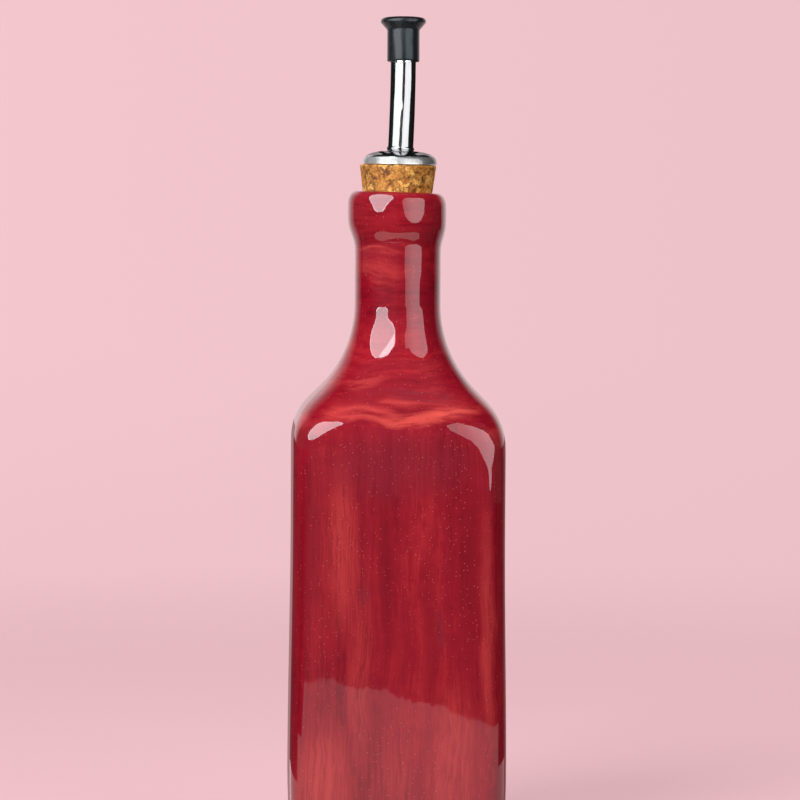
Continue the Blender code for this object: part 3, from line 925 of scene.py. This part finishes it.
def grown(outline, share):
    """The same outline, larger about its own middle but no lower."""
    points = np.asarray(outline, float)
    middle = points.mean(axis=0)
    larger = middle + (points - middle) * share
    return np.column_stack([larger[:, 0], np.maximum(larger[:, 1], points[:, 1].min())])


# %% Glowing cards
WHITE = (1.0, 1.0, 1.0)
LAMP_WHITE = (0.93, 1.00, 1.06)
COOL_WHITE = (0.84, 1.00, 1.10)
WARM_WHITE = (1.45, 1.20, 1.12)
PINKISH = (1.22, 1.00, 1.05)
PALE_PINK = (1.00, 0.86, 0.90)
SIDE_RED = (1.00, 0.55, 0.57)
DARK_RED = (0.16, 0.045, 0.05)
SIDE_FADE = (84, 112, 0.06, 0.42)
CARD_RINGS = 12
EDGE_STEPS = 12


def bent_card(name, radius, outline, strength, colour=WHITE):
    """A glowing card: its outline in short steps, drawn in ring by ring to its own middle.

    If the outline's area comes out negative by the shoelace sum it is turned round, so that every card has
    its front outwards.
    """
    corners = np.asarray(outline, float)
    following = np.roll(corners, -1, axis=0)
    if np.sum(corners[:, 0] * following[:, 1] - following[:, 0] * corners[:, 1]) < 0.0:
        corners = corners[::-1]
    count = len(corners) * EDGE_STEPS
    steps = np.arange(count) / EDGE_STEPS
    closed = np.concatenate([corners, corners[:1]])
    edge = np.column_stack([np.interp(steps, np.arange(len(closed)), closed[:, k]) for k in range(2)])
    middle = corners.mean(axis=0)
    rings = middle + (edge - middle)[None] * np.linspace(1.0, 0.0, CARD_RINGS + 1)[:-1, None, None]
    points = on_drum(radius, np.concatenate([rings.reshape(-1, 2), [middle]]))
    pole = CARD_RINGS * count
    faces = ring_faces(CARD_RINGS, count) + fan_faces(pole - count, count, pole)
    stage_mesh(name, points, faces, glowing(name, strength, colour, inside_only=True), glossy=True)


CARDS = [
    # name, radius, outline, strength or how it changes, colour
    ("right_card", 800, RIGHT_CARD, (16, 44, 1.55, 2.75), PINKISH),
    ("neck_top", 52, NECK_TOP, (14, 36, 1.55, 2.6), PINKISH),
    ("lip_right", 30, LIP_RIGHT, (6, 28, 1.9, 3.2)),
    ("side_right", 75, sheet(66, 100, 24.5, 137), SIDE_FADE, SIDE_RED),
    ("edge_right", 75, sheet(100, 180.5, -10, 137), SIDE_FADE, SIDE_RED),
    ("right_crescent", 52, RIGHT_CRESCENT, (20, 48, 2.1, 3.6), PINKISH),
    ("left_card", 300, LEFT_CARD, 6.8, LAMP_WHITE),
    ("left_card_edge", 302, grown(LEFT_CARD, 1.045), 12.0, LAMP_WHITE),
    ("left_card_corner", 298, BRIGHT_CORNER, 13.0, LAMP_WHITE),
    ("lip_left", 30, LIP_LEFT, 7.0, LAMP_WHITE),
    ("lip_left_edge", 30.2, grown(LIP_LEFT, 1.05), 12.0, LAMP_WHITE),
    ("lip_shade_left", 30.8, sheet(-95, 0, 199, 250), 0.09),
    ("lip_shade_right", 30.8, sheet(0, 100, 199, 250), 0.03),
    ("under_lip", 18.5, UNDER_LIP, 1.0, WARM_WHITE),
    ("under_lip_shade", 18.8, sheet(-66, 66, 196.2, 203.4), 0.06),
    ("neck_shade", 38, sheet(-92, -4, 187.7, 196.3), 0.19),
    ("left_crescent", 52, LEFT_CRESCENT, 6.8, LAMP_WHITE),
    ("left_crescent_edge", 52.3, grown(LEFT_CRESCENT, 1.04), 11.0, LAMP_WHITE),
    ("shoulder_shade_left", 53.5, sheet(-80, -10, 134, 168), 0.14),
    ("shoulder_shade_right", 53.5, sheet(10, 66, 114, 168), 0.12),
    ("tube_left", 6.4, TUBE_LEFT, 1.30),
    ("tube_right", 6.4, TUBE_RIGHT, 1.18),
    ("tube_shade", 6.8, sheet(-130, 130, 228.4, 257.9), 0.01),
    ("flange_left", 16.5, FLANGE_LEFT, 1.15),
    ("flange_faint", 16.7, sheet(-90, -40, 223.2, 234), 0.22),
    ("flange_middle", 16.7, sheet(-8, 11, 223.2, 232.2), 0.42),
    ("flange_right", 16.5, sheet(9, 46, 223.2, 232.2), 0.95),
    ("flange_sky_left", 12.5, FLANGE_SKY, 1.2),
    ("flange_sky_right", 12.5, sheet(-5, 62, 229, 240), 0.16),
    ("flange_back_left", 12.5, sheet(-179, -112, 227, 242.5), 0.60, PALE_PINK),
    ("flange_back_right", 12.5, sheet(112, 179, 227, 242.5), 0.60, PALE_PINK),
    ("cap_left", 16.5, CAP_LEFT, 6.2, LAMP_WHITE),
    ("cap_right", 16.5, CAP_RIGHT, 4.2, COOL_WHITE),
    ("pourer_shade", 17.2, sheet(-100, 100, 223.2, 271.2), 0.08),
    ("edge_left", 75, sheet(-180.5, -141, -10, 137), 0.42, SIDE_RED),
    ("side_left", 75, sheet(-141, -66, 18.5, 137), 1.0, DARK_RED),
]
for card in CARDS:
    bent_card(*card)
print(len(CARDS), "cards")

# %% A flat collar above the shoulder
COLLAR_HEIGHT = 166.5
COLLAR_RADII = (22.8, 50.0)
COLLAR_END = 70
COLLAR_FADE = (25, 72, 0.20, 0.015, True)
COLLAR_STEPS = 57

level_arc = np.column_stack([np.linspace(-COLLAR_END, COLLAR_END, COLLAR_STEPS),
                             np.full(COLLAR_STEPS, COLLAR_HEIGHT)])
collar_points = np.concatenate([on_drum(radius, level_arc) for radius in COLLAR_RADII])
stage_mesh("shoulder_collar", collar_points, strip_faces(COLLAR_STEPS, COLLAR_STEPS),
           glowing("shoulder_collar", COLLAR_FADE, WHITE), glossy=True)
print("collar:", COLLAR_RADII[0], "to", COLLAR_RADII[1], "mm from the axis")


# %% Lamps
LAMP_AIM = 0.14


def unit(vector):
    """The vector with length 1."""
    return vector / np.linalg.norm(vector)


def lamp(name, azimuth, elevation, distance, size, power):
    """A square area lamp aimed at the middle of the bottle that shows in no reflection."""
    data = bpy.data.lights.new(name, "AREA")
    data.shape = "RECTANGLE"
    data.size = data.size_y = size
    data.energy = power
    obj = add_object(name, data)
    centre = from_camera_side(azimuth, elevation, distance, LAMP_AIM)
    backward = unit(centre - [0.0, 0.0, LAMP_AIM])
    right = unit(np.cross([0.0, 0.0, 1.0], backward))
    up = np.cross(backward, right)
    obj.matrix_world = place_matrix(np.column_stack([right, up, backward]), centre).T.tolist()
    obj.visible_camera = obj.visible_glossy = False


lamp("key", -35.0, 33.0, 1.0, size=0.5, power=11.5)
lamp("fill", 48.0, 18.0, 1.2, size=0.8, power=6.0)
lamp("overhead", 170.0, 75.0, 1.6, size=1.6, power=6.0)
print("lamps:", [data.name for data in bpy.data.lights])

# %% [markdown]
# ## Shared effects
#
# Some effects come back in several materials, so each is a node group with named
# inputs: fine specks scattered by chance, streaks drawn out along one direction,
# and a slow waver that bends reflections as in anything glazed or plated.

# %% Small tools for groups
def spaced(names):
    """The same names with spaces in place of underscores."""
    return {name.replace("_", " "): value for name, value in names.items()}


def shared_group(name, output, **inputs):
    """An empty node group with one output, and its inputs: a vector where the default is three numbers."""
    group = bpy.data.node_groups.new(name, "ShaderNodeTree")
    for label, default in spaced(inputs).items():
        kind = "NodeSocketVector" if isinstance(default, tuple) else "NodeSocketFloat"
        group.interface.new_socket(label, in_out="INPUT", socket_type=kind).default_value = default
    group.interface.new_socket(output, in_out="OUTPUT", socket_type="NodeSocketFloat")
    return group, put(group, "NodeGroupInput").node.outputs


def use(tree, group, **inputs):
    """A group node with its inputs set; underscores in the names stand for spaces."""
    return put(tree, "Group", spaced(inputs), node_tree=group)


# %% Group: specks
ORIGIN = (0.0, 0.0, 0.0)
SMALLEST_SPECK = 0.45
SPECK_EDGE = 0.5

specks, given = shared_group("specks", "Mask", Vector=ORIGIN, Spacing=300.0, Size=0.3, Share=0.3)
cells = put(specks, "TexVoronoi", {"Vector": given["Vector"], "Scale": given["Spacing"]}).node.outputs
chance = put(specks, "SeparateColor", {0: cells["Color"]}).node.outputs
size = times(specks, given["Size"], ramp(specks, chance["Green"], 0.0, 1.0, SMALLEST_SPECK, 1.0))
inside = maths(specks, "SUBTRACT", size, cells["Distance"])
spot = ramp(specks, maths(specks, "DIVIDE", inside, size), 0.0, SPECK_EDGE)
chosen = maths(specks, "LESS_THAN", chance["Red"], given["Share"])
put(specks, "NodeGroupOutput", {"Mask": times(specks, spot, chosen)})

# %% Group: streaks
streaks, given = shared_group("streaks", "Value", Vector=ORIGIN, Stretch=(1.0, 1.0, 1.0), Detail=3.0,
                              Low=0.35, High=0.65)
drawn = vector_maths(streaks, "MULTIPLY", given["Vector"], given["Stretch"])
grain = noise(streaks, drawn, 1.0, given["Detail"])
put(streaks, "NodeGroupOutput", {"Value": ramp(streaks, grain, given["Low"], given["High"])})


def drawn_out(tree, vector, across, upward, detail, low):
    """Streaks stretched by two scales, across and upward; what is below low and above 1 - low is cut off."""
    return use(tree, streaks, Vector=vector, Stretch=(across, across, upward), Detail=detail,
               Low=low, High=1.0 - low)


# %% Group: waver
waver, given = shared_group("waver", "Height", Vector=ORIGIN, Scale=80.0, Fine_Scale=600.0, Fine_Share=0.1)
slow = noise(waver, given["Vector"], given["Scale"], 1.0)
fine = noise(waver, given["Vector"], given["Fine Scale"], 2.0)
put(waver, "NodeGroupOutput", {"Height": maths(waver, "MULTIPLY_ADD", fine, given["Fine Share"], slow)})
print("groups:", [group.name for group in bpy.data.node_groups])


# %% Start and end of each material
def new_material(name):
    """A new material, its node tree and its Object coordinates."""
    material = bpy.data.materials.new(name)
    material.use_nodes = True
    tree = material.node_tree
    return material, tree, put(tree, "TexCoord", output="Object")


def set_surface(tree, inputs, height, distance, strength=1.0):
    """Set the Principled shader's own inputs and bend its surface by a height, times a distance in metres."""
    bump = put(tree, "Bump", {"Height": height, "Strength": strength, "Distance": distance})
    connect(tree.nodes["Principled BSDF"], {**inputs, "Normal": bump})


# %% [markdown]
# ## Red glaze
#
# The colour is brushed on: long upright strokes on the four sides, strokes that
# run round on the shoulder and the neck. Where the brush left less paint the red
# is lighter and more orange, where strokes overlap it is darker, like wine. The
# strokes are noise drawn out many times longer than wide, and a slow sway keeps
# them from being dead straight. A few dabs hold painted light: the lighter ones
# low on the front add the pink floor's bounced and reflected light to the
# brushwork there, and two small plum ones are painted violet reflections.

# %% Where the upright strokes end
WINE = (0.205, 0.0032, 0.0120)
RED = (0.290, 0.0062, 0.0175)
BRIGHT = (0.395, 0.0150, 0.0240)
# Thin paint; the same colour also paints the pink floor's light onto the foot of the front face.
THIN_PAINT_AND_FLOOR_LIGHT = (0.580, 0.0520, 0.0500)
PALE_PAINT = (0.690, 0.0800, 0.0640)
# Plum paint; the same colour also paints faint violet reflections on the front face.
PLUM_AND_VIOLET_REFLECTION = (0.215, 0.0150, 0.0300)
SWAY = (0.006, 0.006, 0.010)
HALF_SWAY = (0.003, 0.003, 0.005)
END_ON_FACES = 0.1405
END_AT_CORNERS = 0.1320
CORNERS = (0.020, 0.031)
END_RAGGED = 0.006
SHOULDER_FADE = (0.0022, 0.0050)

glaze, tree, place = new_material("red_glaze")
x, y, z = parts(tree, place)
swayed = vector_maths(tree, "MULTIPLY_ADD", noise(tree, place, 38.0, 2.0, output="Color"), SWAY, place)
swayed = vector_maths(tree, "SUBTRACT", swayed, HALF_SWAY)
inner = maths(tree, "MINIMUM", maths(tree, "ABSOLUTE", x), maths(tree, "ABSOLUTE", y))
limit = ramp(tree, inner, *CORNERS, END_ON_FACES, END_AT_CORNERS)
level = maths(tree, "MULTIPLY_ADD", noise(tree, place, 90.0, 3.0), END_RAGGED, z)
above_limit = maths(tree, "SUBTRACT", level, limit)
on_shoulder = ramp(tree, above_limit, *SHOULDER_FADE)

# %% Strokes of red
STREAKS = [
    # name, stretch across and upward of upright strokes, the same of strokes that run round, detail, low end
    ("broad", (75.0, 9.0), (32.0, 95.0), 2.0, 0.30),
    ("fine", (520.0, 30.0), (90.0, 620.0), 4.0, 0.28),
    ("hair", (1900.0, 45.0), (240.0, 1900.0), 2.0, 0.30),
]
BROAD_SHARE, FINE_SHARE, HAIR_SHARE, CLOUD_SHARE = 0.38, 0.22, 0.16, 0.26
TO_RED = (0.18, 0.52)
TO_BRIGHT = (0.50, 0.88)

up, round_about, brushed = {}, {}, {}
for name, upright, level_run, detail, low in STREAKS:
    up[name] = drawn_out(tree, swayed, *upright, detail, low)
    round_about[name] = drawn_out(tree, swayed, *level_run, detail, low)
    brushed[name] = blended(tree, on_shoulder, up[name], round_about[name])
cloudy = ramp(tree, noise(tree, place, 240.0, 5.0, roughness=0.65), 0.25, 0.75, steps="LINEAR")
amount = times(tree, brushed["broad"], BROAD_SHARE)
for value, share in [(brushed["fine"], FINE_SHARE), (brushed["hair"], HAIR_SHARE), (cloudy, CLOUD_SHARE)]:
    amount = maths(tree, "MULTIPLY_ADD", value, share, amount)
colour = mixed(tree, ramp(tree, amount, *TO_RED), WINE, RED)
colour = mixed(tree, ramp(tree, amount, *TO_BRIGHT), colour, BRIGHT)

# %% Strokes that stand out, and dabs of painted light
UPRIGHT = [
    # centre and half size in millimetres, lean in degrees, strength, tone
    ((-19.5, -36, 100), (7.5, 12, 36), 0, 0.58, THIN_PAINT_AND_FLOOR_LIGHT),
    ((-27, -36, 90), (7, 14, 50), 0, 0.50, BRIGHT),
    ((-13, -36, 60), (6, 12, 50), 0, 0.38, THIN_PAINT_AND_FLOOR_LIGHT),
    ((28.5, -36, 72), (3.4, 16, 52), 0, 0.50, THIN_PAINT_AND_FLOOR_LIGHT),
    ((-1, -36, 56), (5, 12, 36), 0, 0.35, BRIGHT),
    # Painted light: the next three dabs lighten the foot of the front face, adding the pink floor's bounced
    # and reflected light to the brushwork there.
    ((18, -36, 26), (12, 12, 40), 0, 0.45, THIN_PAINT_AND_FLOOR_LIGHT),
    ((-2, -36, 18), (12, 12, 36), 0, 0.38, THIN_PAINT_AND_FLOOR_LIGHT),
    ((-24, -36, 16), (13, 14, 36), 0, 0.80, THIN_PAINT_AND_FLOOR_LIGHT),
    ((-4.5, -36, 90), (3, 12, 40), 0, 0.75, WINE),
    ((10, -36, 76), (4, 12, 40), 0, 0.60, WINE),
    ((0, -36, 128), (33, 12, 17), 0, 0.62, PLUM_AND_VIOLET_REFLECTION),
    ((-30, -34, 100), (5, 12, 36), 0, 0.60, WINE),
    ((23, -34, 95), (5, 12, 40), 0, 0.55, WINE),
    # Painted reflections: the next two small plum dabs stand for faint violet reflections in the glaze.
    ((-12, -36, 85.5), (4.2, 10, 5), 20, 0.60, PLUM_AND_VIOLET_REFLECTION),
    ((13, -36, 74), (2.8, 10, 8), 0, 0.60, PLUM_AND_VIOLET_REFLECTION),
]
ROUND = [
    ((0, -18, 207.5), (26, 30, 11), 0, 0.55, BRIGHT),
    ((-13, -31, 143), (16, 16, 3.2), 0, 0.85, THIN_PAINT_AND_FLOOR_LIGHT),
    ((2, -33, 141), (16, 14, 2.8), 0, 0.80, PALE_PAINT),
    ((16.5, -31, 143.4), (15, 16, 2.8), -8, 0.92, PALE_PAINT),
    ((6, -30, 145.8), (24, 18, 1.6), 3, 0.60, THIN_PAINT_AND_FLOOR_LIGHT),
    ((-13, -22, 153.5), (12, 20, 2.8), -8, 0.50, THIN_PAINT_AND_FLOOR_LIGHT),
    ((-7, -11, 195.2), (9, 12, 2), 0, 0.80, THIN_PAINT_AND_FLOOR_LIGHT),
    ((-5, -11, 188), (10, 14, 6), 0, 0.35, THIN_PAINT_AND_FLOOR_LIGHT),
    ((-27, -30, 137), (9, 14, 6), 0, 0.70, WINE),
    ((6, -28, 149), (20, 18, 3), 4, 0.70, PLUM_AND_VIOLET_REFLECTION),
]
BRISTLES = (0.10, 0.80)
RING_TOP = (0.0120, 0.0060)
RING_SHARE = 0.35


def metres(values):
    """Millimetres as metres."""
    return tuple(value / 1000.0 for value in values)


def dab(centre, size, lean, brush, least, strength):
    """One stroke or dab of painted light: an oval cloud, 1 in the middle and 0 at its edge, broken up by the
    brush's bristles.
    """
    inputs = {"Vector": swayed, "Location": metres(centre), "Scale": metres(size),
              "Rotation": (0.0, math.radians(lean), 0.0)}
    local = put(tree, "Mapping", inputs, vector_type="TEXTURE")
    cloud = ramp(tree, vector_maths(tree, "LENGTH", local, output="Value"), 1.0, 0.25)
    return times(tree, cloud, ramp(tree, brush, *BRISTLES, least * strength, strength))


bristles = blended(tree, 0.5, up["fine"], up["hair"])
for strokes, brush, least in [(UPRIGHT, bristles, 0.45), (ROUND, round_about["fine"], 0.15)]:
    for centre, size, lean, strength, tone in strokes:
        colour = mixed(tree, dab(centre, size, lean, brush, least, strength), colour, tone)
ring = times(tree, on_shoulder, ramp(tree, above_limit, *RING_TOP))
ring = times(tree, ring, ramp(tree, round_about["broad"], 0.2, 0.8, 0.0, RING_SHARE))
colour = mixed(tree, ring, colour, THIN_PAINT_AND_FLOOR_LIGHT)
print("strokes:", len(UPRIGHT), "upright and", len(ROUND), "round the neck and shoulder")

# %% [markdown]
# Tiny bubbles in the glaze show as pale pin-pricks and a few grains of pigment as
# dark ones. The clear coat itself is smooth, so its roughness is low, and only a
# slow waver in its height bends the reflections a little.

# %% Specks and gloss of the glaze
BUBBLE = (0.78, 0.26, 0.24)
DUST = (0.70, 0.16, 0.16)
GRAIN = (0.07, 0.003, 0.008)
CROWDED = (0.42, 0.66)
GLAZE_IOR = 1.56
GLAZE_ROUGHNESS = (0.018, 0.038)
GLAZE_WAVER = 0.000012

bubbles = times(tree, use(tree, specks, Vector=place, Spacing=430.0, Size=0.11, Share=0.48),
                ramp(tree, noise(tree, place, 75.0, 2.0), *CROWDED))
dust = use(tree, specks, Vector=place, Spacing=900.0, Size=0.22, Share=0.70)
grains = use(tree, specks, Vector=place, Spacing=140.0, Size=0.07, Share=0.30)
for mask, strength, tone in [(bubbles, 0.34, BUBBLE), (dust, 0.42, DUST), (grains, 0.55, GRAIN)]:
    colour = mixed(tree, times(tree, mask, strength), colour, tone)
rough = ramp(tree, noise(tree, place, 55.0, 2.0), 0.3, 0.7, *GLAZE_ROUGHNESS)
height = use(tree, waver, Vector=place, Scale=70.0, Fine_Scale=420.0, Fine_Share=0.05)
set_surface(tree, {"Base Color": colour, "IOR": GLAZE_IOR, "Roughness": rough}, height, GLAZE_WAVER)

# %% [markdown]
# ## Pressed cork
#
# Each crumb takes its shade from the number stored on the mesh, between a dark
# tan and a pale peach. Joints are brown. Missing crumbs are near black: the
# darker cork in each pit plus painted shade in its hollow. Fine noise gives the
# crumbs their own grain. Cork is dull, so the roughness is high.

# %% Cork material
CORK_TAN = (0.40, 0.135, 0.012)
CORK_AMBER = (0.62, 0.255, 0.031)
CORK_PEACH = (0.92, 0.50, 0.115)
CORK_JOINT = (0.10, 0.026, 0.003)
# Colour of the pits of missing crumbs: darker cork plus painted shade in the hollow.
CORK_PIT_AND_SHADE = (0.050, 0.014, 0.002)
COARSE_TONE, FINE_TONE, GRAIN_TONE = 0.65, 0.35, 0.22
JOINT_PATCHES = (0.18, 0.95)
HOLE_SHARE = 0.80
CORK_SHINE = 0.15
CORK_ROUGHNESS = (0.72, 0.92)

cork_finish, tree, place = new_material("pressed_cork")
coarse, fine, joint, hole = [put(tree, "Attribute", output="Fac", attribute_name=name)
                             for name in ("crumb_shade", "fine_shade", "crumb_joint", "missing")]
grain = noise(tree, place, 1500.0, 4.0)
tone = maths(tree, "MULTIPLY_ADD", fine, FINE_TONE, times(tree, coarse, COARSE_TONE))
tone = maths(tree, "ADD", tone, ramp(tree, grain, 0.3, 0.7, -GRAIN_TONE, GRAIN_TONE))
patchy = ramp(tree, noise(tree, place, 330.0, 2.0), 0.42, 0.60, *JOINT_PATCHES)
colour = mixed(tree, ramp(tree, tone, 0.1, 0.5), CORK_TAN, CORK_AMBER)
colour = mixed(tree, ramp(tree, tone, 0.5, 0.9), colour, CORK_PEACH)
colour = mixed(tree, times(tree, joint, patchy), colour, CORK_JOINT)
# Missing crumbs: darker cork in each pit, plus painted shade in the hollow.
colour = mixed(tree, times(tree, hole, HOLE_SHARE), colour, CORK_PIT_AND_SHADE)
rough = ramp(tree, grain, 0.2, 0.8, *CORK_ROUGHNESS)
inputs = {"Base Color": colour, "Specular IOR Level": CORK_SHINE, "Roughness": rough}
set_surface(tree, inputs, grain, 0.00012, strength=0.8)

# %% [markdown]
# ## Chrome
#
# Chrome is a mirror: its look is what it reflects. Only small faults make it
# real: drawing lines along the tube, a slow waver and fine upright marks on the
# flange's rim where the metal was crimped.

# %% Chrome materials
CHROME_DULL = (0.70, 0.71, 0.72)
CHROME_LIGHT = (0.80, 0.81, 0.82)
RIM_METAL = (0.60, 0.60, 0.585)
RIM_MARK = (0.78, 0.78, 0.76)
CHROME_ROUGHNESS = (0.05, 0.13)
RIM_ROUGHER = 0.24
CHROME_WAVER = 0.00002
MARK_DEPTH = 0.00002
MARK_SHARE = 0.6


def chrome(name, across, upward, scratch, edge_tint, rim=None):
    """Bright metal with drawing lines; a rim between two heights is duller and scored with upright marks."""
    material, tree, place = new_material(name)
    lines = drawn_out(tree, place, across, upward, 3.0, 0.25)
    rough = ramp(tree, lines, 0.0, 1.0, *CHROME_ROUGHNESS)
    slow = use(tree, waver, Vector=place, Scale=160.0, Fine_Scale=900.0, Fine_Share=0.05)
    height = maths(tree, "MULTIPLY_ADD", slow, CHROME_WAVER, times(tree, lines, scratch))
    colour = mixed(tree, lines, CHROME_DULL, CHROME_LIGHT)
    if rim:
        z = parts(tree, place)[2]
        low, high = rim
        band = times(tree, ramp(tree, z, low - 0.0002, low + 0.0002),
                     ramp(tree, z, high + 0.0004, high - 0.0002))
        scored = times(tree, band, drawn_out(tree, place, 1500.0, 60.0, 2.0, 0.35))
        height = maths(tree, "MULTIPLY_ADD", scored, MARK_DEPTH, height)
        rough = maths(tree, "MULTIPLY_ADD", band, RIM_ROUGHER, rough)
        colour = mixed(tree, band, colour, RIM_METAL)
        colour = mixed(tree, times(tree, scored, MARK_SHARE), colour, RIM_MARK)
    inputs = {"Metallic": 1.0, "Specular Tint": (edge_tint,) * 3, "Base Color": colour, "Roughness": rough}
    set_surface(tree, inputs, height, 1.0)
    return material


tube_finish = chrome("bright_chrome_tube", 2600.0, 90.0, scratch=0.000004, edge_tint=0.15)
flange_base = CORK_TOP + TOUCH_GAP
flange_finish = chrome("bright_chrome_flange", 700.0, 700.0, scratch=0.000002, edge_tint=0.45,
                       rim=(flange_base - 0.0004, flange_base + 0.0022))

# %% [markdown]
# ## Black plastic
#
# The cap is soft plastic with a satin surface. Its reflections are blurred, a
# little dust lies on it, and faint mould lines run along the skirt.

# %% Cap material
CAP_BLACK = (0.0065, 0.0078, 0.0095)
CAP_LIGHTER = (0.011, 0.0130, 0.0155)
CAP_DUST = (0.30, 0.30, 0.30)
CAP_IOR = 1.34
CAP_ROUGHNESS = (0.26, 0.32)

cap_finish, tree, place = new_material("black_cap")
mould = drawn_out(tree, place, 900.0, 60.0, 3.0, 0.3)
dust = use(tree, specks, Vector=place, Spacing=1100.0, Size=0.2, Share=0.08)
colour = mixed(tree, mould, CAP_BLACK, CAP_LIGHTER)
colour = mixed(tree, times(tree, dust, 0.25), colour, CAP_DUST)
rough = ramp(tree, mould, 0.0, 1.0, *CAP_ROUGHNESS)
height = use(tree, waver, Vector=place, Scale=300.0, Fine_Scale=1600.0, Fine_Share=0.3)
set_surface(tree, {"Base Color": colour, "IOR": CAP_IOR, "Roughness": rough}, height, 0.00002)

# %% [markdown]
# ## Put each piece in its place
#
# Every piece takes its material, rides on the one body and stands for its CAD
# node, which is hidden. Each row also lists a material slot name, which the loop leaves unused.

# %% Materials, bodies and slots
PIECES = [
    (bottle, "bottle", glaze, "red_glaze"),
    (cork, "cork", cork_finish, "pressed_cork"),
    (flange, "spout_flange", flange_finish, "bright_chrome"),
    (tube, "spout_tube", tube_finish, "bright_chrome"),
    (cap, "spout_cap", cap_finish, "black_cap"),
]
for piece, node, material, slot in PIECES:
    piece.data.materials.append(material)
    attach(piece, "root")
    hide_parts(node)
    print(piece.name, "stands for", node, "with", len(material.node_tree.nodes), "material nodes")
